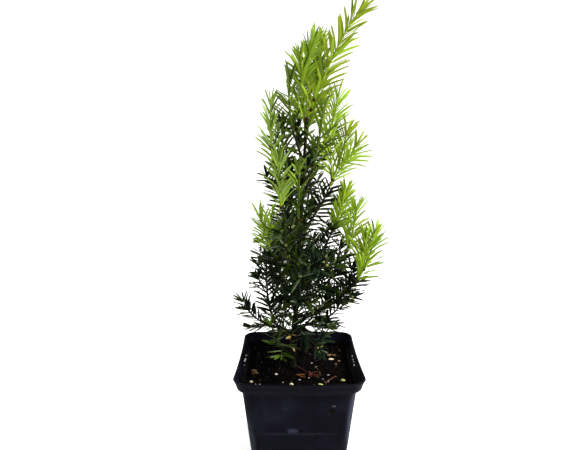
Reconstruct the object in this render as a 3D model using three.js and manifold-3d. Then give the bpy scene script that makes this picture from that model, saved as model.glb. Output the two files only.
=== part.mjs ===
// A young English yew in a square nursery pot: pot, potting mix, stem, main boughs and the sprays of
// needles that they carry. Millimetres, +Z up. The origin is the centre of the pot's flat underside.
import * as THREE from "three";
import { mergeVertices } from "three/addons/utils/BufferGeometryUtils.js";
import Module from "manifold-3d";

const wasm = await Module();
wasm.setup();

// Driving dimensions

const CLEAR = 0.3; // gap between pieces that touch
const POT = {
  height: 95,
  rimHalf: 45, // half the width over the rim's lip
  collarHalf: 42.7, // half the width at the collar's lower edge
  collarDepth: 8.5,
  bodyHalf: 39.9, // half the width just under the collar
  baseHalf: 30.5,
  baseEase: 1.5, // slope that eases the base's edge
  wall: 1.1,
  floor: 1.6,
  lip: 1.0, // thickness of the rim's edge
  cornerTop: 9, // corner radii
  cornerBase: 7,
  drainRadius: 4,
  drainInset: 19, // from the pot's centre line to each drain hole
};
const SOIL_TOP = 85; // the mix lies this high over the pot's underside
const SOIL_SWELL = 1.4; // how far its crumbs lift the surface
const SOIL_LEVEL_HALF = 9; // half the width of the level patch that the stem stands on
const STEM = {
  height: 183, // from the mix to the fork under the leading shoots
  footX: -4, // where it stands in the pot
  lean: 9, // how far its top leans to the right
  bow: 1.3, // gentle bow to the right
  sway: 1.5, // slight sway to the back and front
  flare: 2.9, // radii: at the root flare, above it, and at the fork
  low: 1.95,
  top: 1.05,
  flareHeight: 7,
  sides: 10,
};
const BOUGH = { foot: 1.35, tip: 0.95, share: 0.27 };
const BUD = 2; // length of the bud at a shoot's tip
const BARE = { onStem: 5, onBough: 1, onTwig: 4 }; // a spray's first stretch without needles
// A spray's stem radii, its needles' length and the angle they leave it at, and a needle's foot on it.
const OLD = { foot: 1.1, tip: 0.7, needle: 12.5, splay: 52 };
const FRESH = { foot: 1.0, tip: 0.65, needle: 15.5, splay: 42 };
const TWIG = { foot: 0.85, tip: 0.6, spacing: 12.5, splay: 47, shortest: 13, longest: 30, clear: 4.8 };
const SIDES = 5; // sides of a spray's stem
const TURN = 4; // length of stem that one turn of needles takes
const NEEDLES_A_TURN = 3;
const NEEDLE_HALF = 1.3; // half a needle's width at its foot
const NEEDLE_SIZES = [1, 0.8, 0.6]; // a needle with too little room is tried again at these shares
const NEEDLE_FLOOR = 3; // a needle's tip stays this far over the mix
const SEED = 41;

// Each limb leaves the stem at foot millimetres over the mix, towards bearing degrees, where 0 is the
// pot's right and 270 its front. Its tip stands reach millimetres out and top millimetres over the mix.
// belly is the share of the reach that it takes before it turns up, and rise the share of the climb.
// fresh is the share of its length that is this year's pale growth, and forks how many side shoots
// start with that growth. Where the last word is bough, its first stretch is a bare bough of its own.
const LIMB_FIELDS = ["name", "foot", "bearing", "reach", "top", "belly", "rise", "fresh", "forks", "bough"];
const LIMB_TABLE = [
  ["leader", 183, 0, 35.5, 255, 0.62, 0.8, 1, 0],
  ["second_leader", 177, 315, 5.7, 234, -1.85, 0.59, 1, 1],
  ["back_leader", 175, 48, 16, 237, 0.8, 0.3, 1, 0],
  ["left_top", 155, 187, 10, 211, 1.4, 0.5, 0.6, 0],
  ["left_high", 100, 172, 21, 194, 1.12, 0.31, 0.42, 1, "bough"],
  ["left_high_inner", 115, 150, 16, 180, 0.9, 0.3, 0.42, 0],
  ["left_inner", 87, 213, 17, 156, 1.05, 0.3, 0.48, 1],
  ["left_mid", 52, 187, 26, 115, 0.65, 0.45, 0.42, 1, "bough"],
  ["left_low", 22, 170, 21, 85, 1.15, 0.1, 0, 0, "bough"],
  ["left_lowest", 28, 188, 35, 47, 0.75, 0.3, 0, 0],
  ["right_top", 147, 8, 24, 199, 0.8, 0.35, 0.6, 0],
  ["right_inner", 128, 313, 19.5, 187, 0.75, 0.4, 0.6, 1],
  ["right_high", 102, 5, 33, 174, 0.75, 0.42, 0.48, 1, "bough"],
  ["right_upper_mid", 65, 10, 36, 132, 0.75, 0.42, 0.4, 0, "bough"],
  ["right_mid", 49, 355, 43.5, 120, 0.85, 0.25, 0.38, 1, "bough"],
  ["right_low", 39, 350, 56.5, 101, 0.85, 0.22, 0.38, 0, "bough"],
  ["right_lowest", 32, 340, 33, 50, 0.7, 0.3, 0, 0],
  ["right_lowest_back", 36, 24, 46, 58, 0.7, 0.2, 0, 0],
  ["front_left_low", 17, 248, 38, 34, 0.7, 0.6, 0, 0],
  ["front_right_low", 30, 295, 38, 28, 0.6, -2, 0, 0],
  ["front_high", 77, 270, 25, 148, 0.9, 0.3, 0.45, 0],
  ["front_mid", 53, 274, 41, 86, 0.7, 0.4, 0, 0],
  ["front_right_mid", 60, 299, 39, 93, 0.7, 0.4, 0, 0],
  ["front_left_mid", 70, 255, 36, 114, 0.8, 0.35, 0, 0],
  ["back_low", 28, 84, 38, 75, 0.8, 0.3, 0, 0, "bough"],
  ["back_left", 45, 120, 37, 98, 0.85, 0.3, 0, 0, "bough"],
  ["back_right", 56, 80, 34, 98, 0.85, 0.3, 0.38, 1, "bough"],
  ["back_mid", 76, 103, 36, 140, 0.85, 0.3, 0.4, 1],
  ["back_high", 106, 70, 28, 165, 0.85, 0.3, 0.45, 0],
  ["back_top", 138, 100, 20, 200, 0.85, 0.3, 0.5, 0],
];
const LIMBS = LIMB_TABLE.map((row) => Object.fromEntries(row.map((value, i) => [LIMB_FIELDS[i], value])));

// Colours and finishes

const finish = (color, roughness) => new THREE.MeshStandardMaterial({ color, roughness, metalness: 0 });
const potPlastic = finish(0x1b1b22, 0.55);
const pottingMix = finish(0x2a211b, 0.95);
const bark = finish(0x5a3d26, 0.85);
const oldNeedle = finish(0x24402a, 0.5);
const freshNeedle = finish(0x8fb02e, 0.5);

// Solids

function dice(seed) {
  let state = seed;
  return () => {
    state = (state * 16807) % 2147483647;
    return state / 2147483647;
  };
}

// A closed geometry through rings of points, each ring with the same count, capped at both ends.
function loft(rings) {
  const count = rings[0].length;
  const centre = (ring) => ring.reduce((sum, p) => sum.add(p), new THREE.Vector3()).divideScalar(count);
  const points = [...rings.flat(), centre(rings[0]), centre(rings.at(-1))];
  const faces = [];
  const lastRing = (rings.length - 1) * count;
  for (let i = 0; i < count; i++) {
    const next = (i + 1) % count;
    for (let r = 0; r < lastRing; r += count) {
      faces.push(r + i, r + next, r + count + next, r + i, r + count + next, r + count + i);
    }
    faces.push(points.length - 2, next, i, points.length - 1, lastRing + i, lastRing + next);
  }
  const geometry = new THREE.BufferGeometry().setFromPoints(points);
  geometry.setIndex(faces);
  return geometry;
}

function solid(geometry) {
  const bare = geometry.clone();
  bare.deleteAttribute("normal");
  bare.deleteAttribute("uv");
  const merged = mergeVertices(bare, 1e-4);
  const shape = new wasm.Manifold(
    new wasm.Mesh({
      numProp: 3,
      vertProperties: new Float32Array(merged.attributes.position.array),
      triVerts: new Uint32Array(merged.index.array),
    }),
  );
  if (shape.volume() >= 0) return shape;
  const flipped = merged.clone();
  const index = flipped.index.array;
  for (let i = 0; i < index.length; i += 3) [index[i + 1], index[i + 2]] = [index[i + 2], index[i + 1]];
  return solid(flipped);
}

function geometryOf(shape) {
  const largest = shape.decompose().reduce((a, b) => (b.volume() > a.volume() ? b : a));
  const mesh = largest.getMesh();
  const geometry = new THREE.BufferGeometry();
  geometry.setAttribute("position", new THREE.BufferAttribute(new Float32Array(mesh.vertProperties), 3));
  geometry.setIndex(new THREE.BufferAttribute(new Uint32Array(mesh.triVerts), 1));
  geometry.computeVertexNormals();
  return geometry;
}

const part = new THREE.Group();

function addNode(name, geometry, material) {
  const mesh = new THREE.Mesh(geometry, material);
  mesh.name = name;
  part.add(mesh);
}

// Pot: a tapered square with round corners, a collar that steps out, and drain holes in its floor

const CORNER_STEPS = 4;

function squareRing(half, radius, z) {
  const ring = [];
  for (let corner = 0; corner < 4; corner++) {
    for (let step = 0; step <= CORNER_STEPS; step++) {
      const angle = (corner + step / CORNER_STEPS) * (Math.PI / 2);
      const turn = (corner + 0.5) * (Math.PI / 2);
      const inset = half - radius;
      ring.push(
        new THREE.Vector3(
          Math.sign(Math.cos(turn)) * inset + radius * Math.cos(angle),
          Math.sign(Math.sin(turn)) * inset + radius * Math.sin(angle),
          z,
        ),
      );
    }
  }
  return ring;
}

const collarZ = POT.height - POT.collarDepth;
const bodyHalfAt = (z) => THREE.MathUtils.mapLinear(z, 0, collarZ, POT.baseHalf, POT.bodyHalf);
const cornerAt = (z) => THREE.MathUtils.mapLinear(z, 0, POT.height, POT.cornerBase, POT.cornerTop);

function makePot() {
  const outside = (half, z) => squareRing(half, cornerAt(z), z);
  const inside = (half, z) => squareRing(half - POT.wall, cornerAt(z) - POT.wall, z);
  const shell = loft([
    outside(POT.baseHalf - POT.baseEase, 0),
    outside(bodyHalfAt(POT.baseEase), POT.baseEase),
    outside(bodyHalfAt(collarZ), collarZ),
    outside(POT.collarHalf, collarZ + 0.4),
    outside(POT.rimHalf - 0.3, POT.height - 0.8),
    outside(POT.rimHalf, POT.height - 0.3),
    outside(POT.rimHalf - 0.3, POT.height),
    squareRing(POT.rimHalf - POT.lip, cornerAt(POT.height) - POT.lip, POT.height),
    inside(POT.collarHalf, collarZ + POT.wall + 0.4),
    inside(bodyHalfAt(collarZ), collarZ + 0.2),
    inside(bodyHalfAt(POT.floor), POT.floor),
  ]);
  let pot = solid(shell);
  for (const [x, y] of [[1, 1], [-1, 1], [-1, -1], [1, -1]]) {
    const drain = new THREE.CylinderGeometry(POT.drainRadius, POT.drainRadius, POT.floor * 4, 12);
    drain.rotateX(Math.PI / 2).translate(x * POT.drainInset, y * POT.drainInset, 0);
    pot = pot.subtract(solid(drain));
  }
  return geometryOf(pot);
}

// Potting mix: it fills the pot, and its top is uneven with crumbs but level round the stem

function makeSoil() {
  const roll = dice(SEED);
  const half = (z) => bodyHalfAt(z) - POT.wall - CLEAR;
  const corner = (z) => cornerAt(z) - POT.wall - CLEAR;
  const floorZ = POT.floor + CLEAR;
  const edgeZ = SOIL_TOP - 1;
  const rings = [floorZ, edgeZ].map((z) => squareRing(half(z), corner(z), z));
  for (const share of [0.9, 0.74, 0.58, 0.42, 0.26]) {
    const ring = squareRing(half(edgeZ) * share, corner(edgeZ) * share, SOIL_TOP);
    ring.forEach((p) => (p.z += SOIL_SWELL * (roll() - 0.65)));
    rings.push(ring);
  }
  rings.push(squareRing(SOIL_LEVEL_HALF, SOIL_LEVEL_HALF / 3, SOIL_TOP));
  return loft(rings);
}

// Stem and limbs: their centre lines

function stemCentre(height) {
  const t = height / STEM.height;
  return new THREE.Vector3(
    STEM.footX + STEM.lean * t * t * (1.6 - 0.6 * t) + STEM.bow * Math.sin(Math.PI * t),
    STEM.sway * (Math.sin(2.6 * t + 0.4) - 0.4),
    SOIL_TOP + height,
  );
}

function stemRadius(height) {
  const flare = (STEM.flare - STEM.low) * Math.max(0, 1 - height / STEM.flareHeight) ** 2;
  return THREE.MathUtils.lerp(STEM.low, STEM.top, height / STEM.height) + flare;
}

function limbCurve(limb) {
  const start = stemCentre(limb.foot);
  const bearing = THREE.MathUtils.degToRad(limb.bearing);
  const outward = new THREE.Vector3(Math.cos(bearing), Math.sin(bearing), 0);
  const climb = limb.top - limb.foot;
  const at = (outShare, upShare) => {
    const point = start.clone().addScaledVector(outward, limb.reach * outShare);
    point.z += climb * upShare;
    return point;
  };
  return new THREE.QuadraticBezierCurve3(start, at(limb.belly, limb.rise), at(1, 1));
}

// The direction that is turned by an angle in degrees from along towards aside.
function turned(along, aside, degrees) {
  const angle = THREE.MathUtils.degToRad(degrees);
  return along.clone().multiplyScalar(Math.cos(angle)).addScaledVector(aside, Math.sin(angle));
}

// A side twig leaves its parent at point, turned by splay from along, and bends a little upwards.
function twigCurve(point, along, aside, splay, length) {
  const heading = turned(along, aside, splay);
  const middle = point.clone().addScaledVector(heading, length * 0.55);
  const end = middle.clone().addScaledVector(heading, length * 0.42);
  end.z += length * 0.2;
  return new THREE.QuadraticBezierCurve3(point, middle, end);
}

// Rings round a tapering limb.
function limbRings(curve, radii, sides, steps) {
  const frames = curve.computeFrenetFrames(steps, false);
  return frames.normals.map((normal, i) => {
    const radius = THREE.MathUtils.lerp(radii.foot, radii.tip, i / steps);
    return Array.from({ length: sides }, (_, k) =>
      curve
        .getPointAt(i / steps)
        .addScaledVector(normal, radius * Math.cos((2 * Math.PI * k) / sides))
        .addScaledVector(frames.binormals[i], radius * Math.sin((2 * Math.PI * k) / sides)),
    );
  });
}

// The direction across a limb that stays nearest to the pot's right.
function acrossOf(along) {
  const right = new THREE.Vector3(1, 0, 0);
  const front = new THREE.Vector3(0, -1, 0);
  const base = Math.abs(along.x) < 0.85 ? right : front;
  return base.clone().addScaledVector(along, -base.dot(along)).normalize();
}

// Rings round the stem, close together on the flare. extra widens them.
function stemRings(extra) {
  const { flareHeight, height: topHeight } = STEM;
  const heights = [0, 0.2, 0.5, 1].map((share) => share * flareHeight);
  const steps = 13;
  for (let i = 1; i <= steps; i++) heights.push(THREE.MathUtils.lerp(flareHeight, topHeight, i / steps));
  return heights.map((height) => {
    const centre = stemCentre(height);
    centre.z = Math.max(centre.z, SOIL_TOP + CLEAR);
    const radius = stemRadius(height) + extra;
    return Array.from({ length: STEM.sides }, (_, k) => {
      const angle = (2 * Math.PI * k) / STEM.sides;
      return new THREE.Vector3(radius * Math.cos(angle), radius * Math.sin(angle), 0).add(centre);
    });
  });
}

// Needles: each is a slim pyramid on one face of a five-sided stem, leaning towards the shoot's tip

// Every stretch of limb and every needle that is placed, so that a new one can keep clear of them.
const placed = [];

// A stretch from point a to point b with half its width at each end.
function stretchFrom(a, b, halfA, halfB, mass, limb) {
  return { line: new THREE.Line3(a, b), halfA, halfB, mass, limb };
}

// How far two stretches stand apart where they come nearest, from skin to skin.
function gapBetween(one, other) {
  const onOne = one.line.getCenter(new THREE.Vector3());
  const onOther = new THREE.Vector3();
  for (let i = 0; i < 10; i++) {
    other.line.closestPointToPoint(onOne, true, onOther);
    one.line.closestPointToPoint(onOther, true, onOne);
  }
  const half = (stretch, point) => {
    const share = stretch.line.closestPointToPointParameter(point, true);
    return THREE.MathUtils.lerp(stretch.halfA, stretch.halfB, share);
  };
  return onOne.distanceTo(onOther) - half(one, onOne) - half(other, onOther);
}

function keepsClear(needle) {
  return placed.every((other) => {
    if (other.limb === needle.limb) return true;
    return gapBetween(needle, other) > (other.mass === needle.mass ? 0.1 : 1.5 * CLEAR);
  });
}

// The tip of the needle on side k of turn i of a shoot, or null where there is no room for one.
function needleTip(shape, i, k) {
  const { curve, frames, turns, kind, radii, mass, limb, roll } = shape;
  const share = (i + 0.5) / turns;
  const outward = turned(frames.normals[i], frames.binormals[i], (360 * (k + 0.5)) / SIDES);
  const radius = THREE.MathUtils.lerp(radii.foot, radii.tip, share);
  const root = curve.getPointAt(share).addScaledVector(outward, radius * Math.cos(Math.PI / SIDES));
  const splay = kind.splay * (1 - 0.5 * share ** 3) + 12 * (roll() - 0.5);
  const heading = turned(frames.tangents[i], outward, splay);
  const full = kind.needle * (0.85 + 0.3 * roll()) * (1 - 0.2 * share ** 4);
  for (const size of NEEDLE_SIZES) {
    const tip = root.clone().addScaledVector(heading, full * size);
    const foot = root.clone().addScaledVector(heading, NEEDLE_HALF / 2);
    const needle = stretchFrom(foot, tip, NEEDLE_HALF, 0, mass, limb);
    if (tip.z > SOIL_TOP + NEEDLE_FLOOR && keepsClear(needle)) {
      placed.push(needle);
      return tip;
    }
  }
  return null;
}

// A stem along a curve, from its foot to its bud, with needles after its first bare millimetres.
// Each turn of the stem has five faces, and a face either stays flat or rises to a needle's tip.
function shoot(options) {
  const { curve, radii, bare, bud } = options;
  const length = curve.getLength();
  const turns = Math.max(2, Math.round(length / TURN));
  const frames = curve.computeFrenetFrames(turns, false);
  const shape = { ...options, turns, frames };
  const points = limbRings(curve, radii, SIDES, turns).flat();
  const faces = [];
  for (let i = 0; i < turns; i++) {
    const needles = i === turns - 1 ? SIDES : NEEDLES_A_TURN;
    for (let k = 0; k < SIDES; k++) {
      const next = (k + 1) % SIDES;
      const corners = [i * SIDES + k, i * SIDES + next, (i + 1) * SIDES + next, (i + 1) * SIDES + k];
      const hasNeedle = (k + 3 * i) % SIDES < needles && ((i + 0.5) / turns) * length > bare;
      const tip = hasNeedle ? needleTip(shape, i, k) : null;
      if (tip) {
        points.push(tip);
        for (let c = 0; c < 4; c++) faces.push(corners[c], corners[(c + 1) % 4], points.length - 1);
      } else {
        faces.push(corners[0], corners[1], corners[2], corners[0], corners[2], corners[3]);
      }
    }
  }
  const first = points.push(curve.getPointAt(0)) - 1;
  const last = points.push(curve.getPointAt(1).addScaledVector(frames.tangents[turns], bud)) - 1;
  for (let k = 0; k < SIDES; k++) {
    const next = (k + 1) % SIDES;
    faces.push(first, next, k, last, turns * SIDES + k, turns * SIDES + next);
  }
  const geometry = new THREE.BufferGeometry().setFromPoints(points);
  geometry.setIndex(faces);
  return geometry;
}

// Limbs: where each bough, old spray and new growth starts and ends on its centre line

// The part of a curve between two shares of its length, as a curve of its own.
function partOf(curve, from, to) {
  const t0 = curve.getUtoTmapping(from);
  const t1 = curve.getUtoTmapping(to);
  const middle = new THREE.Vector3()
    .addScaledVector(curve.v0, (1 - t0) * (1 - t1))
    .addScaledVector(curve.v1, t0 + t1 - 2 * t0 * t1)
    .addScaledVector(curve.v2, t0 * t1);
  return new THREE.QuadraticBezierCurve3(curve.getPoint(t0), middle, curve.getPoint(t1));
}

function placeLimb(curve, radii, mass, limb) {
  const steps = 6;
  for (let i = 0; i < steps; i++) {
    const ends = [curve.getPointAt(i / steps), curve.getPointAt((i + 1) / steps)];
    placed.push(stretchFrom(...ends, radii.foot, radii.foot, mass, limb));
  }
}

function twigIsClear(twig, mass) {
  const outer = stretchFrom(twig.getPointAt(0.35), twig.getPointAt(1), TWIG.clear, TWIG.clear);
  const isLimb = (other) => other.halfB > 0;
  return placed.every((other) => !isLimb(other) || other.limb === mass || gapBetween(outer, other) > 0);
}

// Side twigs leave a spray's stem left and right by turns. One that would crowd a limb is left out.
function sideTwigs(curve, last, mass, count, roll) {
  const twigs = [];
  const length = curve.getLength();
  let side = roll() < 0.5 ? 1 : -1;
  for (let i = 0; i < count; i++) {
    const t = last * (0.12 + (0.88 * (i + 0.5 + 0.3 * (roll() - 0.5))) / count);
    const along = curve.getTangentAt(t);
    const sideways = new THREE.Vector3().crossVectors(along, acrossOf(along));
    sideways.applyAxisAngle(along, (roll() - 0.5) * 1.4).multiplyScalar(side);
    const reach = THREE.MathUtils.clamp(length * (1 - t) * 0.6, TWIG.shortest, TWIG.longest);
    const twig = twigCurve(curve.getPointAt(t), along, sideways, TWIG.splay + 10 * (roll() - 0.5), reach);
    side = -side;
    if (!twigIsClear(twig, mass)) continue;
    placeLimb(twig, TWIG, mass, `${mass}_twig_${i}`);
    twigs.push({ curve: twig, limb: `${mass}_twig_${i}` });
  }
  return twigs;
}

// Every bough and mass with its own curve and side twigs, in the order in which they are made.
function planMasses() {
  const masses = [];
  const add = (limb, kind, name, material, curve) => {
    placeLimb(curve, kind, name, name);
    masses.push({ limb, kind, name, material, curve });
  };
  const stemStep = STEM.height / 24;
  for (let h = 0; h < STEM.height - 1; h += stemStep) {
    const ends = [stemCentre(h), stemCentre(h + stemStep)];
    placed.push(stretchFrom(...ends, stemRadius(h), stemRadius(h), "trunk", "trunk"));
  }
  for (const limb of LIMBS) {
    const curve = limbCurve(limb);
    const gap = CLEAR / curve.getLength();
    const node = 1 - limb.fresh;
    let start = limb.foot < STEM.height ? 0 : gap;
    if (limb.bough) {
      const end = BOUGH.share * node;
      add(limb, BOUGH, `bough_${limb.name}`, bark, partOf(curve, start, end));
      start = end + gap;
    }
    if (limb.fresh < 1) {
      add(limb, OLD, `spray_${limb.name}`, oldNeedle, partOf(curve, start, node));
      start = node + gap;
    }
    if (limb.fresh > 0) {
      add(limb, FRESH, `new_growth_${limb.name}`, freshNeedle, partOf(curve, start, 1));
    }
  }
  masses.forEach((mass, i) => {
    mass.roll = dice(SEED * 100 + i);
    mass.twigs = [];
    if (mass.kind === OLD) {
      const count = Math.floor(mass.curve.getLength() / TWIG.spacing);
      mass.twigs = sideTwigs(mass.curve, 0.95, mass.name, count, mass.roll);
    }
    if (mass.kind === FRESH) mass.twigs = sideTwigs(mass.curve, 0.3, mass.name, mass.limb.forks, mass.roll);
  });
  return masses;
}

function makeBough(mass) {
  return geometryOf(solid(loft(limbRings(mass.curve, BOUGH, 6, 4))).subtract(stemKeepOut));
}

function makeMass(mass) {
  const { curve, kind, name, roll } = mass;
  const bud = kind === OLD && mass.limb.fresh > 0 ? 0 : BUD;
  const bare = mass.limb.bough ? BARE.onBough : BARE.onStem;
  const shapes = [solid(shoot({ curve, kind, radii: kind, bare, bud, mass: name, limb: name, roll }))];
  for (const twig of mass.twigs) {
    const options = { curve: twig.curve, kind, radii: TWIG, bare: BARE.onTwig, bud: BUD, mass: name };
    shapes.push(solid(shoot({ ...options, limb: twig.limb, roll })));
  }
  return geometryOf(wasm.Manifold.union(shapes).subtract(stemKeepOut));
}

// The whole plant in its pot

const stemKeepOut = solid(loft(stemRings(CLEAR / Math.cos(Math.PI / STEM.sides))));
addNode("pot", makePot(), potPlastic);
addNode("potting_mix", makeSoil(), pottingMix);
addNode("trunk", loft(stemRings(0)), bark);
for (const mass of planMasses()) {
  addNode(mass.name, mass.kind === BOUGH ? makeBough(mass) : makeMass(mass), mass.material);
}

export default part;
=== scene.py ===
# %% [markdown]
# # A young English yew in a square nursery pot
#
# This lesson dresses a small conifer that has been built as plain solids. The solids say where the
# pot, the stem, each bough and each spray of needles is. The cells below put real needles, bark,
# plastic and potting mix in their place, one kind of thing at a time.
#
# First the script loads the solids as a fixed frame.

# %% Load the frame
import math

import bpy
import numpy as np
from mathutils import Matrix, Vector, noise


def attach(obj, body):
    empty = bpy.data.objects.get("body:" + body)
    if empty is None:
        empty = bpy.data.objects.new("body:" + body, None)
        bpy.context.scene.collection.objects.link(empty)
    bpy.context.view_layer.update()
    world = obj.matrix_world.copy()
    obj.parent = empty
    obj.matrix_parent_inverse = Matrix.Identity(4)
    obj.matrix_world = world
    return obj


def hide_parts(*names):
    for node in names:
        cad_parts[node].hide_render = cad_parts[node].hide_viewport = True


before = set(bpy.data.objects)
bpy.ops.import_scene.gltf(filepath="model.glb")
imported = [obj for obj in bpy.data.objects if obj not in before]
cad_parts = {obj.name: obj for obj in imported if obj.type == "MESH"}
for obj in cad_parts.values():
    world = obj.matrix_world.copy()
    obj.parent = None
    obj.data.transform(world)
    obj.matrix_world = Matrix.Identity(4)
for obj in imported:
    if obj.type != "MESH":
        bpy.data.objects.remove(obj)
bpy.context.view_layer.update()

# %% [markdown]
# ## Camera
#
# A photo of an upright plant is usually taken from a little above, looking slightly down. The lens
# and the tilt could be guessed by eye, but the pot's rim is a square of known size, so they were
# worked out from how that square is drawn in perspective.

# %% Camera
IMAGE_WIDTH, IMAGE_HEIGHT = 585, 450
FOCAL_PIXELS = 440
SENSOR = 36
LOOKS_DOWN = math.radians(8.4)

camera_data = bpy.data.cameras.new("camera")
camera_data.sensor_width = SENSOR
camera_data.lens = SENSOR * FOCAL_PIXELS / IMAGE_WIDTH
camera_data.clip_start = 0.01
camera = bpy.data.objects.new("camera", camera_data)
camera.location = (-0.0047, -0.316, 0.241)
camera.rotation_euler = (math.pi / 2 - LOOKS_DOWN, 0, 0)
bpy.context.collection.objects.link(camera)
bpy.context.scene.camera = camera
print("lens", round(camera_data.lens, 2), "mm")

# %% [markdown]
# ## Helpers for materials
#
# A finish in Blender is a small graph of nodes that ends in a Principled shader. A value that is the
# same all over goes straight on the shader's socket. A value that changes over the surface comes from
# a noise pattern on Object coordinates, which stay with the piece from every side.

# %% Material helpers
def finish(name, color, roughness, **sockets):
    """A material with plain values on its Principled shader. color is linear red, green and blue."""
    material = bpy.data.materials.new(name)
    material.use_nodes = True
    shader = material.node_tree.nodes["Principled BSDF"]
    shader.inputs["Base Color"].default_value = (*color, 1)
    shader.inputs["Roughness"].default_value = roughness
    for socket, value in sockets.items():
        shader.inputs[socket.replace("_", " ")].default_value = value
    return material


def add_node(material, kind, **inputs):
    """A shader node with its inputs set, or linked where the value is another node's output."""
    node = material.node_tree.nodes.new("ShaderNode" + kind)
    for socket, value in inputs.items():
        target = node.inputs[socket.replace("_", " ")]
        if isinstance(value, bpy.types.NodeSocket):
            material.node_tree.links.new(value, target)
        else:
            target.default_value = value
    return node


def pattern(material, scale, detail=3, stretch=(1, 1, 1), **more):
    """A noise pattern on Object coordinates, scale times a metre, stretched along the axes."""
    place = add_node(material, "TexCoord").outputs["Object"]
    mapped = add_node(material, "Mapping", Vector=place, Scale=stretch).outputs["Vector"]
    clouds = add_node(material, "TexNoise", Vector=mapped, Scale=scale, Detail=detail, **more)
    return clouds.outputs["Fac"]


def ramp(material, factor, *stops):
    """A colour that follows a pattern. Each stop is a place from 0 to 1 and a colour."""
    node = add_node(material, "ValToRGB", Fac=factor)
    elements = node.color_ramp.elements
    while len(elements) < len(stops):
        elements.new(0.5)
    for element, (position, color) in zip(elements, stops):
        element.position = position
        element.color = (*color, 1)
    return node.outputs["Color"]


def drive(material, socket, value):
    """Links a pattern to a socket of the shader."""
    shader = material.node_tree.nodes["Principled BSDF"]
    material.node_tree.links.new(value, shader.inputs[socket])


def color_by(material, factor, *stops):
    """Lets the base colour follow a pattern."""
    drive(material, "Base Color", ramp(material, factor, *stops))


def relief(material, height, strength, distance):
    """Lets a pattern raise and sink the surface. distance is in metres."""
    bump = add_node(material, "Bump", Height=height, Strength=strength, Distance=distance)
    drive(material, "Normal", bump.outputs["Normal"])


def grained(name, color, roughness, gloss, scale, strength=0.3, distance=0.0001, **how):
    """A plain finish with a low specular level, whose surface is raised and sunk by a fine pattern."""
    material = finish(name, color, roughness, Specular_IOR_Level=gloss)
    relief(material, pattern(material, scale, **how), strength, distance)
    return material


# %% [markdown]
# ## Helpers for pieces
#
# Each finished piece is one mesh whose object stays at the origin, so that it sits in the same frame as
# the solids. It rides on the one body that the part has. The plan of the plant is worked out in
# millimetres, as a maker would measure it, and becomes metres only where a mesh is made.

# %% Piece helpers
MM = 0.001


def new_object(name, data):
    """An object with the given data, put in the scene."""
    thing = bpy.data.objects.new(name, data)
    bpy.context.collection.objects.link(thing)
    return thing


def modified(thing):
    """The mesh that an object's modifiers make of its own."""
    seen = bpy.context.evaluated_depsgraph_get()
    return bpy.data.meshes.new_from_object(thing.evaluated_get(seen), depsgraph=seen)


def signed_volume(mesh):
    """The volume in cubic millimetres that a mesh encloses, above 0 where its faces point outwards."""
    mesh.calc_loop_triangles()
    points = np.empty(len(mesh.vertices) * 3)
    mesh.vertices.foreach_get("co", points)
    corners = np.empty(len(mesh.loop_triangles) * 3, dtype=int)
    mesh.loop_triangles.foreach_get("vertices", corners)
    a, b, c = points.reshape(-1, 3)[corners.reshape(-1, 3)].transpose(1, 0, 2)
    return float(np.einsum("ij,ij->i", a, np.cross(b, c)).sum() / 6 / MM**3)


def add_piece(name, mesh, slot, replaces=(), smooth=True):
    """Puts a mesh in the scene as a piece of the part."""
    mesh.name = name
    mesh.polygons.foreach_set("use_smooth", [smooth] * len(mesh.polygons))
    piece = new_object(name, mesh)
    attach(piece, "root")
    if replaces:
        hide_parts(*replaces)
    volume = signed_volume(mesh)
    print(f"{name}: {len(mesh.loop_triangles)} triangles, {volume:.0f} mm3")
    return piece


def mesh_of(points, faces, material):
    """A mesh from points in millimetres."""
    mesh = bpy.data.meshes.new("mesh")
    mesh.from_pydata([tuple(c * MM for c in p) for p in points], [], faces)
    mesh.materials.append(material)
    return mesh


def loft(rings, points, faces):
    """Adds a closed skin through rings of points, each with the same count, to points and faces."""
    first, count = len(points), len(rings[0])
    for ring in rings:
        points.extend(ring)
    for r in range(len(rings) - 1):
        low, high = first + r * count, first + (r + 1) * count
        for i in range(count):
            j = (i + 1) % count
            faces.append((low + i, low + j, high + j, high + i))
    last = first + (len(rings) - 1) * count
    faces.append(tuple(first + count - 1 - i for i in range(count)))
    faces.append(tuple(last + i for i in range(count)))


def dice(seed):
    """Numbers from 0 to 1 that come out alike on each run, as the part's source throws them."""
    state = seed

    def roll():
        nonlocal state
        state = state * 16807 % 2147483647
        return state / 2147483647

    return roll


def shaken(seed):
    """Dice for what the solids lack. Near seeds begin alike, so the first throws are dropped."""
    roll = dice(seed * 7919 + 101)
    for _ in range(5):
        roll()
    return roll


def seed_of(name):
    """A seed for the dice that depends on a shoot's name alone."""
    return SEED + sum((i + 1) * ord(letter) for i, letter in enumerate(name))


def mix(a, b, share):
    """The value a share of the way from a to b."""
    return a + (b - a) * share


# %% [markdown]
# ## Helper for Geometry Nodes
#
# Thousands of needles and crumbs are copies of a few shapes. Geometry Nodes can place them with one
# tree for each kind. This small class builds a tree in code: each size is a named input, whose value
# is set by the socket's identifier before the tree first runs. The result is read back as a plain mesh.

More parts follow.
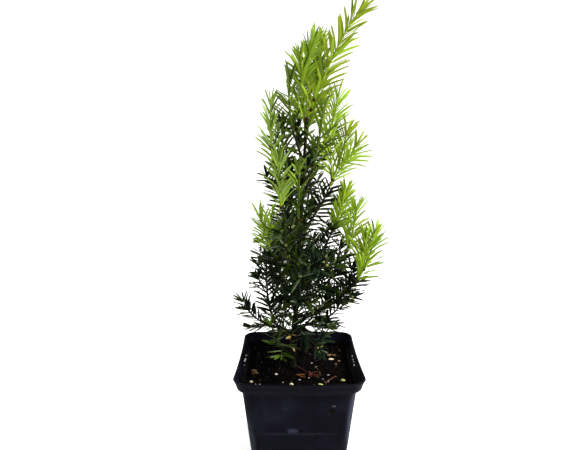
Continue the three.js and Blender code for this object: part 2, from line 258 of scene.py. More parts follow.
# %% Geometry Nodes helper
class Tree:
    """A Geometry Nodes tree with named inputs, built one node at a time."""

    def __init__(self, name, **inputs):
        self.group = bpy.data.node_groups.new(name, "GeometryNodeTree")
        face = self.group.interface
        face.new_socket("Geometry", in_out="OUTPUT", socket_type="NodeSocketGeometry")
        face.new_socket("Geometry", in_out="INPUT", socket_type="NodeSocketGeometry")
        self.sockets = {}
        for label, kind in inputs.items():
            how = dict(in_out="INPUT", socket_type="NodeSocket" + kind)
            self.sockets[label] = face.new_socket(label.replace("_", " "), **how)
        outputs = self.group.nodes.new("NodeGroupInput").outputs
        self.geometry = outputs["Geometry"]
        self.inputs = {label: outputs[label.replace("_", " ")] for label in inputs}

    def add(self, kind, settings=(), **inputs):
        """Adds a node and returns its outputs. Inputs are set, or linked where they are outputs."""
        node = self.group.nodes.new(kind)
        for name, value in dict(settings).items():
            setattr(node, name, value)
        for name, value in inputs.items():
            names = [s for s in node.inputs if s.name == name.replace("_", " ") and s.enabled]
            self.feed(names[0], value)
        return node.outputs

    def feed(self, socket, value):
        if isinstance(value, bpy.types.NodeSocket):
            self.group.links.new(value, socket)
        else:
            socket.default_value = value

    def maths(self, operation, *values, vector=False):
        """A Math or Vector Math node on the given values."""
        kind = "ShaderNodeVectorMath" if vector else "ShaderNodeMath"
        node = self.group.nodes.new(kind)
        node.operation = operation
        sockets = [s for s in node.inputs if s.enabled]
        for socket, value in zip(sockets, values):
            self.feed(socket, value)
        return next(s for s in node.outputs if s.enabled)

    def attribute(self, name, kind):
        """Reads a named attribute of the points."""
        outputs = self.add("GeometryNodeInputNamedAttribute", {"data_type": kind}, Name=name)
        return next(s for s in outputs if s.enabled)

    def random(self, low, high, seed, kind="FLOAT"):
        """A random value for each point."""
        settings = {"data_type": kind}
        outputs = self.add("FunctionNodeRandomValue", settings, Min=low, Max=high, Seed=seed)
        return next(s for s in outputs if s.enabled)

    def copies(self, points, shape, turn, span):
        """Copies of a shape on points, turned and sized, and made real geometry."""
        copies = self.add(
            "GeometryNodeInstanceOnPoints", Points=points, Instance=shape, Rotation=turn, Scale=span
        )[0]
        return self.add("GeometryNodeRealizeInstances", Geometry=copies)[0]

    def moved(self, geometry, way, amount):
        """The geometry with each point moved along its own way, times an amount."""
        scaled = self.add("ShaderNodeVectorMath", {"operation": "SCALE"}, Vector=way, Scale=amount)
        return self.add("GeometryNodeSetPosition", Geometry=geometry, Offset=scaled["Vector"])[0]

    def end(self, geometry):
        """Ends the tree by giving the geometry its material."""
        material = self.inputs["Material"]
        done = self.add("GeometryNodeSetMaterial", Geometry=geometry, Material=material)[0]
        outputs = self.group.nodes.new("NodeGroupOutput").inputs
        self.group.links.new(done, outputs["Geometry"])

    def run(self, source, **values):
        """The mesh that the tree makes of a source mesh. The modifier is removed again."""
        holder = new_object("holder", source)
        modifier = holder.modifiers.new("nodes", "NODES")
        modifier.node_group = self.group
        for label, value in values.items():
            modifier[self.sockets[label].identifier] = value
        mesh = modified(holder)
        holder.modifiers.remove(modifier)
        bpy.data.objects.remove(holder)
        return mesh


# %% [markdown]
# ## The rule of the plant
#
# The stem and each limb follow the rule that made the solids. A limb leaves the stem at a height,
# heads for a bearing, swings out and then turns up to its tip. One row of a table holds these sizes
# for each limb. Twigs leave the limbs by thrown dice, and because the dice are the same ones, every
# twig of the solids comes back here in its own place. The numbers are millimetres and degrees.

# %% Sizes of the plant
CLEAR = 0.3
SOIL_TOP = 85
# The stem's height, its foot, how far it leans, bows and sways, and its radius at the root flare, above
# the flare and at its top.
STEM = dict(
    height=183, foot_x=-4, lean=9, bow=1.3, sway=1.5, flare=2.9, low=1.95, top=1.05, flare_height=7
)
STEM_PARTS = 24
SHARE_OF_BOUGH = 0.27
SEED = 41
# Half a stem's thickness at its foot in the solids, and the rule of their side twigs.
FOOT = dict(bough=1.35, spray=1.1, new_growth=1.0)
TWIG = dict(foot=0.85, spacing=12.5, splay=47, shortest=13, longest=30, clear=4.8)

LIMB_FIELDS = "name foot bearing reach top belly rise fresh forks bough".split()
LIMB_TABLE = [
    ("leader", 183, 0, 35.5, 255, 0.62, 0.8, 1, 0, 0),
    ("second_leader", 177, 315, 5.7, 234, -1.85, 0.59, 1, 1, 0),
    ("back_leader", 175, 48, 16, 237, 0.8, 0.3, 1, 0, 0),
    ("left_top", 155, 187, 10, 211, 1.4, 0.5, 0.6, 0, 0),
    ("left_high", 100, 172, 21, 194, 1.12, 0.31, 0.42, 1, 1),
    ("left_high_inner", 115, 150, 16, 180, 0.9, 0.3, 0.42, 0, 0),
    ("left_inner", 87, 213, 17, 156, 1.05, 0.3, 0.48, 1, 0),
    ("left_mid", 52, 187, 26, 115, 0.65, 0.45, 0.42, 1, 1),
    ("left_low", 22, 170, 21, 85, 1.15, 0.1, 0, 0, 1),
    ("left_lowest", 28, 188, 35, 47, 0.75, 0.3, 0, 0, 0),
    ("right_top", 147, 8, 24, 199, 0.8, 0.35, 0.6, 0, 0),
    ("right_inner", 128, 313, 19.5, 187, 0.75, 0.4, 0.6, 1, 0),
    ("right_high", 102, 5, 33, 174, 0.75, 0.42, 0.48, 1, 1),
    ("right_upper_mid", 65, 10, 36, 132, 0.75, 0.42, 0.4, 0, 1),
    ("right_mid", 49, 355, 43.5, 120, 0.85, 0.25, 0.38, 1, 1),
    ("right_low", 39, 350, 56.5, 101, 0.85, 0.22, 0.38, 0, 1),
    ("right_lowest", 32, 340, 33, 50, 0.7, 0.3, 0, 0, 0),
    ("right_lowest_back", 36, 24, 46, 58, 0.7, 0.2, 0, 0, 0),
    ("front_left_low", 17, 248, 38, 34, 0.7, 0.6, 0, 0, 0),
    ("front_right_low", 30, 295, 38, 28, 0.6, -2, 0, 0, 0),
    ("front_high", 77, 270, 25, 148, 0.9, 0.3, 0.45, 0, 0),
    ("front_mid", 53, 274, 41, 86, 0.7, 0.4, 0, 0, 0),
    ("front_right_mid", 60, 299, 39, 93, 0.7, 0.4, 0, 0, 0),
    ("front_left_mid", 70, 255, 36, 114, 0.8, 0.35, 0, 0, 0),
    ("back_low", 28, 84, 38, 75, 0.8, 0.3, 0, 0, 1),
    ("back_left", 45, 120, 37, 98, 0.85, 0.3, 0, 0, 1),
    ("back_right", 56, 80, 34, 98, 0.85, 0.3, 0.38, 1, 1),
    ("back_mid", 76, 103, 36, 140, 0.85, 0.3, 0.4, 1, 0),
    ("back_high", 106, 70, 28, 165, 0.85, 0.3, 0.45, 0, 0),
    ("back_top", 138, 100, 20, 200, 0.85, 0.3, 0.5, 0, 0),
]
LIMBS = [dict(zip(LIMB_FIELDS, row)) for row in LIMB_TABLE]
print(len(LIMBS), "limbs")


# %% Centre lines
class Curve:
    """A quadratic Bezier curve that is walked by shares of its length."""

    GRID = np.linspace(0, 1, 201)

    def __init__(self, *controls):
        self.controls = controls
        grid = [self.at(t) for t in self.GRID]
        steps = [(b - a).length for a, b in zip(grid, grid[1:])]
        self.walked = np.concatenate([[0], np.cumsum(steps)])
        self.length = float(self.walked[-1])

    def at(self, t):
        a, b, c = self.controls
        return a * (1 - t) ** 2 + b * (2 * t * (1 - t)) + c * t**2

    def turn(self, share):
        return float(np.interp(share * self.length, self.walked, self.GRID))

    def point(self, share):
        return self.at(self.turn(share))

    def along(self, share):
        a, b, c = self.controls
        t = self.turn(share)
        return ((b - a) * (1 - t) + (c - b) * t).normalized()

    def part(self, start, end):
        """The part of the curve between two shares of its length."""
        a, b, c = self.controls
        s, e = self.turn(start), self.turn(end)
        middle = a * ((1 - s) * (1 - e)) + b * (s + e - 2 * s * e) + c * (s * e)
        return Curve(self.at(s), middle, self.at(e))


def stem_centre(height):
    t = height / STEM["height"]
    x = STEM["foot_x"] + STEM["lean"] * t * t * (1.6 - 0.6 * t) + STEM["bow"] * math.sin(math.pi * t)
    return Vector((x, STEM["sway"] * (math.sin(2.6 * t + 0.4) - 0.4), SOIL_TOP + height))


def stem_along(height):
    return (stem_centre(height + 0.5) - stem_centre(height - 0.5)).normalized()


def stem_radius(height):
    flare = max(0, 1 - height / STEM["flare_height"])
    taper = mix(STEM["low"], STEM["top"], height / STEM["height"])
    return taper + (STEM["flare"] - STEM["low"]) * flare**2


def limb_curve(limb):
    """A limb's centre line: it swings out from the stem, then turns up to its tip."""
    start = stem_centre(limb["foot"])
    bearing = math.radians(limb["bearing"])
    outward = Vector((math.cos(bearing), math.sin(bearing), 0)) * limb["reach"]
    climb = Vector((0, 0, limb["top"] - limb["foot"]))
    return Curve(start, start + outward * limb["belly"] + climb * limb["rise"], start + outward + climb)


def turned(along, aside, degrees):
    """The direction that is turned by an angle from along towards aside."""
    angle = math.radians(degrees)
    return along * math.cos(angle) + aside * math.sin(angle)


# A twig runs out for the first share of its length, goes on for the second and rises by the third.
RUNS_OUT, GOES_ON, RISES = 0.55, 0.42, 0.2


def twig_curve(point, along, aside, splay, length):
    """A twig's centre line: it leaves a limb towards one side, at an angle, then rises."""
    heading = turned(along, aside, splay)
    middle = point + heading * (length * RUNS_OUT)
    return Curve(point, middle, middle + heading * (length * GOES_ON) + Vector((0, 0, length * RISES)))


def across_of(along):
    """The direction across a limb that stays nearest to the pot's right."""
    base = Vector((1, 0, 0)) if abs(along.x) < 0.85 else Vector((0, -1, 0))
    return (base - along * base.dot(along)).normalized()


print("the stem's tip is at", tuple(round(c, 1) for c in stem_centre(STEM["height"])))

# %% [markdown]
# A twig that would crowd a limb is left out. To know that, the script keeps every stretch of limb as a
# straight line with a thickness, and measures how near a new one comes to all of them at once.

# %% Room for twigs and needles
class Room:
    """The stretches of limb that have been placed, and how near a new one comes to them."""

    def __init__(self):
        self.rows, self.owners = [], []

    def place(self, a, b, half_a, half_b, owner):
        self.rows.append((*a, *b, half_a, half_b))
        self.owners.append(owner)

    def freeze(self):
        """Turns the rows into arrays, for quick measuring."""
        self.table = np.array(self.rows)
        self.owner = np.array(self.owners)

    def gap(self, a, b, half_a, half_b, owner):
        """The least gap from skin to skin between a new stretch and those of other owners."""
        a, b = np.array(a), np.array(b)
        others = self.table[self.owner != owner]
        c, d = others[:, :3], others[:, 3:6]
        reach = np.linalg.norm(d - c, axis=1) + np.linalg.norm(b - a) + 12
        others = others[np.linalg.norm((c + d - a - b) / 2, axis=1) < reach]
        if not len(others):
            return 99.0
        c, d = others[:, :3], others[:, 3:6]
        here = np.repeat([(a + b) / 2], len(others), axis=0)
        for _ in range(10):
            u = self.share(here, c, d)
            there = c + (d - c) * u[:, None]
            v = self.share(there, a, b)
            here = a + (b - a) * v[:, None]
        halves = mix(half_a, half_b, v) + mix(others[:, 6], others[:, 7], u)
        return float((np.linalg.norm(here - there, axis=1) - halves).min())

    @staticmethod
    def share(point, start, end):
        way = end - start
        return np.clip(((point - start) * way).sum(-1) / (way * way).sum(-1), 0, 1)


room = Room()


def place_limb(curve, half, owner, steps=6):
    """Notes a curve as straight stretches that are half thick."""
    for i in range(steps):
        room.place(curve.point(i / steps), curve.point((i + 1) / steps), half, half, owner)


# %% Boughs, sprays and their side twigs
def side_twigs(curve, last, owner, count, roll):
    """Twigs that leave a spray's stem left and right by turns."""
    twigs = []
    side = 1 if roll() < 0.5 else -1
    for i in range(count):
        t = last * (0.12 + 0.88 * (i + 0.5 + 0.3 * (roll() - 0.5)) / count)
        along = curve.along(t)
        sideways = along.cross(across_of(along))
        sideways = Matrix.Rotation((roll() - 0.5) * 1.4, 3, along) @ sideways * side
        reach = min(max(curve.length * (1 - t) * 0.6, TWIG["shortest"]), TWIG["longest"])
        twig = twig_curve(curve.point(t), along, sideways, TWIG["splay"] + 10 * (roll() - 0.5), reach)
        side = -side
        room.freeze()
        clear = TWIG["clear"]
        if room.gap(twig.point(0.35), twig.point(1), clear, clear, owner) <= 0:
            continue
        place_limb(twig, TWIG["foot"], f"{owner}_twig_{i}")
        twigs.append(dict(curve=twig, owner=f"{owner}_twig_{i}"))
    return twigs


def plan_masses():
    """Every bough and mass in the order of the solids, each with its centre line and twigs."""
    masses = []
    step = STEM["height"] / STEM_PARTS
    for i in range(STEM_PARTS):
        half = stem_radius(i * step)
        room.place(stem_centre(i * step), stem_centre((i + 1) * step), half, half, "trunk")
    for limb in LIMBS:
        whole = limb_curve(limb)
        gap = CLEAR / whole.length
        node = 1 - limb["fresh"]
        start = 0 if limb["foot"] < STEM["height"] else gap
        stretches = []
        if limb["bough"]:
            end = SHARE_OF_BOUGH * node
            stretches.append(("bough", start, end))
            start = end + gap
        if limb["fresh"] < 1:
            stretches.append(("spray", start, node))
            start = node + gap
        if limb["fresh"] > 0:
            stretches.append(("new_growth", start, 1))
        for prefix, a, b in stretches:
            name = f"{prefix}_{limb['name']}"
            curve = whole.part(a, b)
            place_limb(curve, FOOT[prefix], name)
            masses.append(dict(name=name, prefix=prefix, limb=limb, curve=curve, twigs=[]))
    for i, mass in enumerate(masses):
        roll = dice(SEED * 100 + i)
        curve = mass["curve"]
        if mass["prefix"] == "spray":
            count = int(curve.length / TWIG["spacing"])
            mass["twigs"] = side_twigs(curve, 0.95, mass["name"], count, roll)
        if mass["prefix"] == "new_growth":
            mass["twigs"] = side_twigs(curve, 0.3, mass["name"], mass["limb"]["forks"], roll)
    return masses


masses = plan_masses()
print(len(masses), "boughs and masses,", sum(len(m["twigs"]) for m in masses), "side twigs")

# %% [markdown]
# ## Finer twigs
#
# The solids stop at one order of side twigs. On the plant, each old spray also has short shoots
# between them, and the longer twigs branch again. They could be drawn one by one, but the same rule,
# with smaller numbers, gives them too: a short reach keeps them inside the space that the mass already
# fills. Where this year's growth is pale, the photo shows single shoots, so only a few are added there.

# %% Sizes of the shoots
# Half a stem's thickness at a shoot's foot and tip.
STEM_OF = {
    "trunk": (1.9, 1.5),
    "trunk_top": (1.5, 1.05),
    "bough": (1.35, 1.0),
    "spray": (1.0, 0.62),
    "new_growth": (0.9, 0.55),
    "twig": (0.62, 0.42),
    "finer": (0.45, 0.32),
}
# How far apart finer twigs stand on a shoot, and how long they are there.
FINER = {
    ("old", "trunk"): dict(apart=5.5, shortest=12.0, longest=21.0),
    ("old", "spray"): dict(apart=10.0, shortest=11.0, longest=19.0),
    ("old", "twig"): dict(apart=12.0, shortest=9.0, longest=13.0),
}
FINER_SPLAY, FINER_CLEAR = 48, 1.6
GOLDEN_TURN = 137.5
LOWEST_TIP = SOIL_TOP + 6
# How much of a shoot's foot is bare: of a limb at the stem, of a limb past its bough, and of twigs.
BARE_STEM, BARE_BOUGH, BARE_TWIG, BARE_FINER = 5.0, 1.0, 2.0, 1.0
# The stem carries needles from one height up, and short twigs as far as the next.
NEEDLED_FROM, TWIGS_END = 22, 82
# Limbs whose twigs don't branch again, and the lowest limb towards the lens, which is like no other.
UNFORKED = ("front_left_low", "front_right_low", "left_lowest")
BRIGHT_LIMB = "front_left_low"


def all_round(shoot):
    """Whether needles and twigs go all round a shoot, as towards the lens and away from it."""
    return shoot["limb"].startswith(("front", "back")) and shoot["limb"] != BRIGHT_LIMB


print("finer twigs stand", [sizes["apart"] for sizes in FINER.values()], "mm apart")


# %% Finer twigs
class StemPart:
    """A stretch of the stem that is walked as a limb's curve is."""

    def __init__(self, low, high):
        self.low, self.high, self.length = low, high, high - low

    def point(self, share):
        return stem_centre(mix(self.low, self.high, share))

    def along(self, share):
        return stem_along(mix(self.low, self.high, share))


def reach_of(point):
    """How far a point is from the line on which the stem stands."""
    return math.hypot(point.x - STEM["foot_x"], point.y)


def finer_twigs(shoot, roll):
    """Short shoots all along a shoot, to its left and right by turns, no further out than its mass."""
    curve, owner, sizes = shoot["curve"], shoot["owner"], FINER.get((shoot["age"], shoot["size"]))
    found = []
    turn = 180 * int(roll() * 2)
    if not sizes or shoot["limb"] in UNFORKED:
        return found
    for i in range(int((curve.length - shoot["bare"]) / sizes["apart"])):
        t = (shoot["bare"] + (i + 0.3 + 0.4 * roll()) * sizes["apart"]) / curve.length
        turn += GOLDEN_TURN if all_round(shoot) else 180 + 80 * (roll() - 0.5)
        length = mix(sizes["shortest"], sizes["longest"], roll()) * (1 - 0.45 * t)
        along = curve.along(t)
        across = across_of(along)
        outward = turned(across, along.cross(across), turn)
        twig = twig_curve(curve.point(t), along, outward, FINER_SPLAY, length)
        tip = twig.point(1)
        if tip.z < LOWEST_TIP or reach_of(tip) > shoot["farthest"]:
            continue
        room.freeze()
        clear = FINER_CLEAR * (0.5 if shoot["size"] == "trunk" else 1)
        if room.gap(twig.point(0.5), tip, clear, clear, owner) <= 0:
            continue
        name = f"{owner}_finer_{i}"
        place_limb(twig, STEM_OF["finer"][0], name, 2)
        found.append(dict(shoot, curve=twig, owner=name, size="finer", bare=BARE_FINER, goes_on=False))
    return found


# %% Every shoot of the plant
# Side shoots that the dice leave out: the mass, where on it they leave, and the way to their tip.
ADDED_SHOOTS = [
    ("new_growth_right_high", 0.12, (-2.5, -4, 27)),
    ("new_growth_right_high", 0.4, (12, -3, 13)),
    ("new_growth_right_low", 0.15, (2.5, -3, 24)),
    ("new_growth_left_mid", 0.3, (2, -4, 19)),
    ("new_growth_second_leader", 0.5, (-1.5, -3, 18)),
    ("spray_left_lowest", 0.38, (-3, -3, 19)),
    ("spray_left_lowest", 0.2, (-1, -5, 17)),
    ("spray_left_low", 0.1, (7, -4, 19)),
    ("spray_left_low", 0.3, (6, -3, 15)),
]
# What a side twig has that its main shoot lacks.
AS_TWIG = dict(size="twig", bare=BARE_TWIG, goes_on=False)


def added_shoots(main):
    """The side shoots that the table above adds to a mass. They swing out, then turn up."""
    found = []
    for mass, share, way in ADDED_SHOOTS:
        if mass == main["mass"]:
            foot, way = main["curve"].point(share), Vector(way)
            middle = foot + Vector((way.x * 0.75, way.y * 0.75, way.z * 0.45))
            owner = f"{main['owner']}_added_{len(found)}"
            curve = Curve(foot, middle, foot + way)
            place_limb(curve, STEM_OF["twig"][0], owner)
            found.append(main | AS_TWIG | dict(curve=curve, owner=owner))
    return found


def plan_shoots():
    """Every shoot that carries needles, with its age, its stem's size and its tip."""
    stem = dict(age="old", mass="trunk", limb="trunk", owner="trunk", bare=0, goes_on=True, farthest=24)
    low = dict(stem, size="trunk", curve=StemPart(NEEDLED_FROM, TWIGS_END))
    shoots = [low, dict(stem, size="trunk_top", curve=StemPart(TWIGS_END, STEM["height"]))]
    shoots += finer_twigs(low, shaken(SEED * 200))
    for i, mass in enumerate(masses):
        limb, name = mass["limb"], mass["name"]
        age = "new" if mass["prefix"] == "new_growth" else "old"
        bare = BARE_BOUGH if limb["bough"] or (age == "new" and limb["fresh"] < 1) else BARE_STEM
        main = dict(age=age, mass=name, limb=limb["name"], curve=mass["curve"], owner=name)
        main.update(size=mass["prefix"], bare=bare, goes_on=age == "old" and limb["fresh"] > 0)
        curves = [mass["curve"], *(t["curve"] for t in mass["twigs"])]
        main["farthest"] = max(reach_of(c.point(1)) for c in curves)
        twigs = [main | AS_TWIG | twig for twig in mass["twigs"]]
        if mass["prefix"] == "bough":
            main.update(bare=BARE_STEM, goes_on=True)
        twigs += added_shoots(main)
        roll = shaken(SEED * 300 + i)
        shoots += [main, *twigs]
        for shoot in [main, *twigs]:
            shoots += finer_twigs(shoot, roll)
    return shoots


shoots = plan_shoots()
room.freeze()
print(len(shoots), "shoots,", round(sum(s["curve"].length for s in shoots)), "mm of stem")

# %% [markdown]
# ## Stems, boughs and trunk
#
# Wood and green stems are tubes along the centre lines. A plain tube looks like wire, so each ring is
# pushed in and out a little. Young stems of a yew are ribbed by the feet of the needles, which run down
# them. The old stem has thin bark that splits along its length and swells where a limb leaves it. The
# relief is real geometry, so it also shows in the mesh itself.

# %% Tubes with relief
def tube(points, faces, path, radius_at, sides):
    """Adds a closed tube along a path. path holds each ring's centre and direction."""
    across = across_of(path[0][1])
    rings = []
    for i, (centre, along) in enumerate(path):
        across = (across - along * across.dot(along)).normalized()
        other = along.cross(across)
        ring = []
        for k in range(sides):
            angle = 2 * math.pi * k / sides
            aside = across * math.cos(angle) + other * math.sin(angle)
            ring.append(centre + aside * radius_at(i, angle, centre + aside))
        rings.append(ring)
    loft(rings, points, faces)


def walk(curve, step, start=0.0):
    """A curve's centres and directions, about step apart, from start millimetres before its foot."""
    count = max(3, round(curve.length / step))
    path = [(curve.point(i / count), curve.along(i / count)) for i in range(count + 1)]
    if start:
        path.insert(0, (path[0][0] - path[0][1] * start, path[0][1]))
    return path


# The ribs on a green stem, how deep they and the unevenness are, and how pointed its tip is.
RIBS, RIB_DEPTH, UNEVEN, POINTED = 5, 0.09, 0.16, 0.35


def green_stem(points, faces, shoot):
    """A shoot's own stem: it tapers, has ribs that wind round it, and ends in a point."""
    foot, tip = STEM_OF[shoot["size"]]
    sides, step = (10, 1.5) if shoot["size"] in ("spray", "new_growth") else (6, 2)
    path = walk(shoot["curve"], step, start=0.35)
    last = len(path) - 1

    def radius_at(i, angle, place):
        share = i / last
        ribs = 1 + RIB_DEPTH * math.cos(RIBS * angle + 9 * share) + UNEVEN * noise.noise(place * 0.9)
        end = POINTED if i == last and not shoot["goes_on"] else 1
        return mix(foot, tip, share) * ribs * end

    tube(points, faces, path, radius_at, sides)


# %% The bark and the stems' finishes
bark = finish("yew_bark", (0.02, 0.014, 0.006), 0.85, Specular_IOR_Level=0.06)
flakes = pattern(bark, 700, detail=6, stretch=(1, 1, 0.22), Roughness=0.7)
color_by(
    bark, flakes,
    (0.32, (0.0012, 0.0012, 0.0006)), (0.5, (0.004, 0.0042, 0.0018)), (0.68, (0.0075, 0.0068, 0.0026)),
)
relief(bark, flakes, 0.5, 0.0003)

ALONG = (1, 1, 0.3)
STEM_FINISHES = {
    "old": grained(
        "old_green_wood", (0.007, 0.0065, 0.002), 0.6, 0.06, 1500, 0.4, 0.0002, stretch=ALONG
    ),
    "new": grained("new_green_stem", (0.13, 0.2, 0.008), 0.5, 0.05, 1500, stretch=ALONG),
    # Stems of limbs in the shade of others: a duller green, darkened further with painted shade.
    "dull": grained("dull_shaded_green_stem", (0.035, 0.06, 0.004), 0.5, 0.05, 1500, stretch=ALONG),
}
print("finishes for stems:", *STEM_FINISHES)

# %% Trunk
KNOTS = [limb["foot"] for limb in LIMBS]
# How far the stem swells at a limb's foot, and how far up and down that reaches.
SWELLING, SWELLING_REACH = 0.35, 2.2
TRUNK_RINGS = 240


def trunk_radius(height, angle, place):
    """The stem's radius with its swellings at the limbs and the splits of its bark."""
    swelling = sum(SWELLING * math.exp(-(((height - k) / SWELLING_REACH) ** 2)) for k in KNOTS)
    grain = noise.fractal(Vector((place.x, place.y, place.z * 0.22)) * 0.9, 0.8, 2.1, 4)
    flake = noise.noise(Vector((place.x * 1.4, place.y * 1.4, place.z * 0.5)))
    return stem_radius(height) * (1 + 0.09 * grain + 0.05 * flake) + swelling


heights = [STEM["height"] * i / TRUNK_RINGS for i in range(TRUNK_RINGS + 1)]
points, faces = [], []
path = [(stem_centre(h), stem_along(h)) for h in heights]
tube(points, faces, path, lambda i, angle, place: trunk_radius(heights[i], angle, place), 24)
add_piece("trunk_bark", mesh_of(points, faces, bark), "bark", ["trunk"])

# %% Boughs
points, faces = [], []
for mass in masses:
    if mass["prefix"] == "bough":
        path = walk(mass["curve"], 0.9)
        last = len(path) - 1

        def bough_radius(i, angle, place):
            collar = 0.5 * math.exp(-i / 2)
            grain = noise.fractal(place * 0.8, 0.8, 2.1, 3)
            return (mix(FOOT["bough"], STEM_OF["spray"][0], i / last) + collar) * (1 + 0.1 * grain)

        tube(points, faces, path, bough_radius, 16)
bough_nodes = [m["name"] for m in masses if m["prefix"] == "bough"]
add_piece("bough_bark", mesh_of(points, faces, bark), "bark", bough_nodes)

# %% Green stems
# Limbs whose fresh growth is a duller green and stands in the shade of others. Their stems take a
# darker green that is partly painted shade.
DULL_AND_SHADED = "left_top left_high_inner right_inner front_high back_top back_high back_mid back_right".split()
stems = {kind: [] for kind in STEM_FINISHES}
for shoot in shoots:
    if shoot["size"] not in ("trunk", "trunk_top", "bough"):
        dull = shoot["age"] == "new" and shoot["limb"] in DULL_AND_SHADED
        stems["dull" if dull else shoot["age"]].append(shoot)
for kind, group in stems.items():
    points, faces = [], []
    for shoot in group:
        green_stem(points, faces, shoot)
    slot = "needles_old" if kind == "old" else "needles_new"
    nodes = sorted({shoot["mass"] for shoot in group})
    add_piece("stems_" + kind, mesh_of(points, faces, STEM_FINISHES[kind]), slot, nodes)

# %% [markdown]
# ## Needles
#
# A yew needle is a flat, narrow blade about 12 to 18 mm long. It has a thin foot, a ridge along its
# middle and a short point. The first step decides where each one goes. Needles leave a shoot to its
# left and right by turns, and scatter from there: less on old shoots, more on fresh ones, and all round
# on those that point towards the lens or away from it. Towards the tip they close up into a tuft. A
# needle that would run into a limb is made shorter or left out.

# %% Sizes of the needles
# A shoot's needles: their length and width, the angle they leave it at, how much of that angle the
# last ones lose, how far they scatter round their two ranks and how round those are, how far they
# twist, bend and arch outwards, and the length of stem for each one.
NEEDLES = {
    "old": dict(
        length=11.5, width=1.6, splay=55, closing=0.25, scatter=90, roundness=(0.25, 0.45),
        twist=70, bend=0.8, arch=0.6, spacing=1.4,
    ),
    "new": dict(
        length=16, width=1.3, splay=39, closing=0.6, scatter=175, roundness=(0.35, 0.6),
        twist=110, bend=1.7, arch=2.3, spacing=0.92,
    ),
}
# What sets the needles apart that go all round a shoot, beside those of the others.
ALL_ROUND = dict(scatter=360, roundness=(1, 1), twist=220, wider=1.2)
RANKED = dict(wider=1)
BOUGH_SPACING = 1.5
# The spacing, length and width of needles on some limbs, or on one mass of a limb, as shares of the
# usual ones.
CLOSER = dict(
    leader=1.4, second_leader=0.55, new_growth_second_leader_twig_0=1.5, back_leader=0.36,
    left_top=1.5, left_high=1.15, left_high_inner=1.25, left_inner=0.9, left_mid=0.95,
    spray_left_low=1.2, left_lowest=0.85, right_top=0.75, right_inner=2.0, right_high=1.15,
    right_upper_mid=0.36, spray_right_upper_mid=0.9, right_mid=0.88, spray_right_mid=1.15,
    right_low=0.64, spray_right_low=1.2, right_lowest=1.35, front_high=1.4, front_left_low=1.5,
    spray_front_left_mid=1.15, spray_front_mid=1.2, back_high=1.2, trunk=2.1,
)
LONGER = dict(
    leader=1.25, new_growth_second_leader_twig_0=0.7, left_low=0.82, spray_left_low=1.0,
    left_lowest=0.95, right_top=1.1, new_growth_right_high=1.08, right_upper_mid=0.9,
    spray_right_mid=1.12, new_growth_right_low=1.15, spray_right_low=1.22, right_lowest=1.15,
    front_high=0.85, front_left_low=0.95, front_right_low=0.85,
)
WIDER = dict(
    leader=1.45, second_leader=1.15, left_top=1.3, left_high=1.1, left_high_inner=1.35,
    left_inner=1.1, spray_left_low=1.25, left_lowest=1.15, right_inner=1.35, right_high=1.15,
    spray_right_mid=1.2, right_low=1.15, spray_right_low=1.35, right_lowest=1.25,
)


def special(table, shoot, usual):
    """What a table holds for a shoot, or else for its mass or its limb, or else the usual value."""
    keys = [shoot[part] for part in ("owner", "mass", "limb") if shoot[part] in table]
    return table[keys[0]] if keys else usual


def needle_kind(shoot):
    """The sizes of a shoot's needles."""
    return NEEDLES[shoot["age"]] | (ALL_ROUND if all_round(shoot) else RANKED)


print("needles are", NEEDLES["old"]["length"], "and", NEEDLES["new"]["length"], "mm long")

# %% Where each needle goes
ROOM_FOR_NEEDLE = 0.15
HALF_BLADE, HALF_TIP, PAST_ROOT = 0.4, 0.1, 0.25
# A needle without room is tried again at these shares of its length.
NEEDLE_TRIES = (1, 0.8, 0.6)
SPLAY_SCATTER = 12
# How many needles stand in the tuft at a tip, and where on the shoot.
TUFT, SMALL_TUFT, TUFT_AT = 6, 3, 0.995
# Up to one height a needle stays inside the pot's rim, and it always stays off the mix.
INSIDE_RIM, ABOVE_RIM, OFF_MIX = 40.5, 97, 2.5
UP = Vector((0, 0, 1))


def sides_of(along):
    """The way in which a shoot spreads its needles, the way across that, and how upright it is."""
    upright = min(max((abs(along.z) - 0.3) / 0.35, 0), 1)
    level = along.cross(UP)
    side = across_of(along)
    if level.length > 0.2:
        level = level.normalized()
        level = level if level.dot(side) >= 0 else -level
        side = (side * upright + level * (1 - upright)).normalized()
    over = along.cross(side)
    return side, over if over.z > -0.1 else -over, upright


def fits(root, tip, owner):
    """Whether a needle has room. Near its root it may touch the twig that it grows on."""
    if tip.z < SOIL_TOP + OFF_MIX:
        return False
    if tip.z < ABOVE_RIM and max(abs(tip.x), abs(tip.y)) > INSIDE_RIM:
        return False
    start = root + (tip - root) * PAST_ROOT
    return room.gap(start, tip, HALF_BLADE, HALF_TIP, owner) > ROOM_FOR_NEEDLE


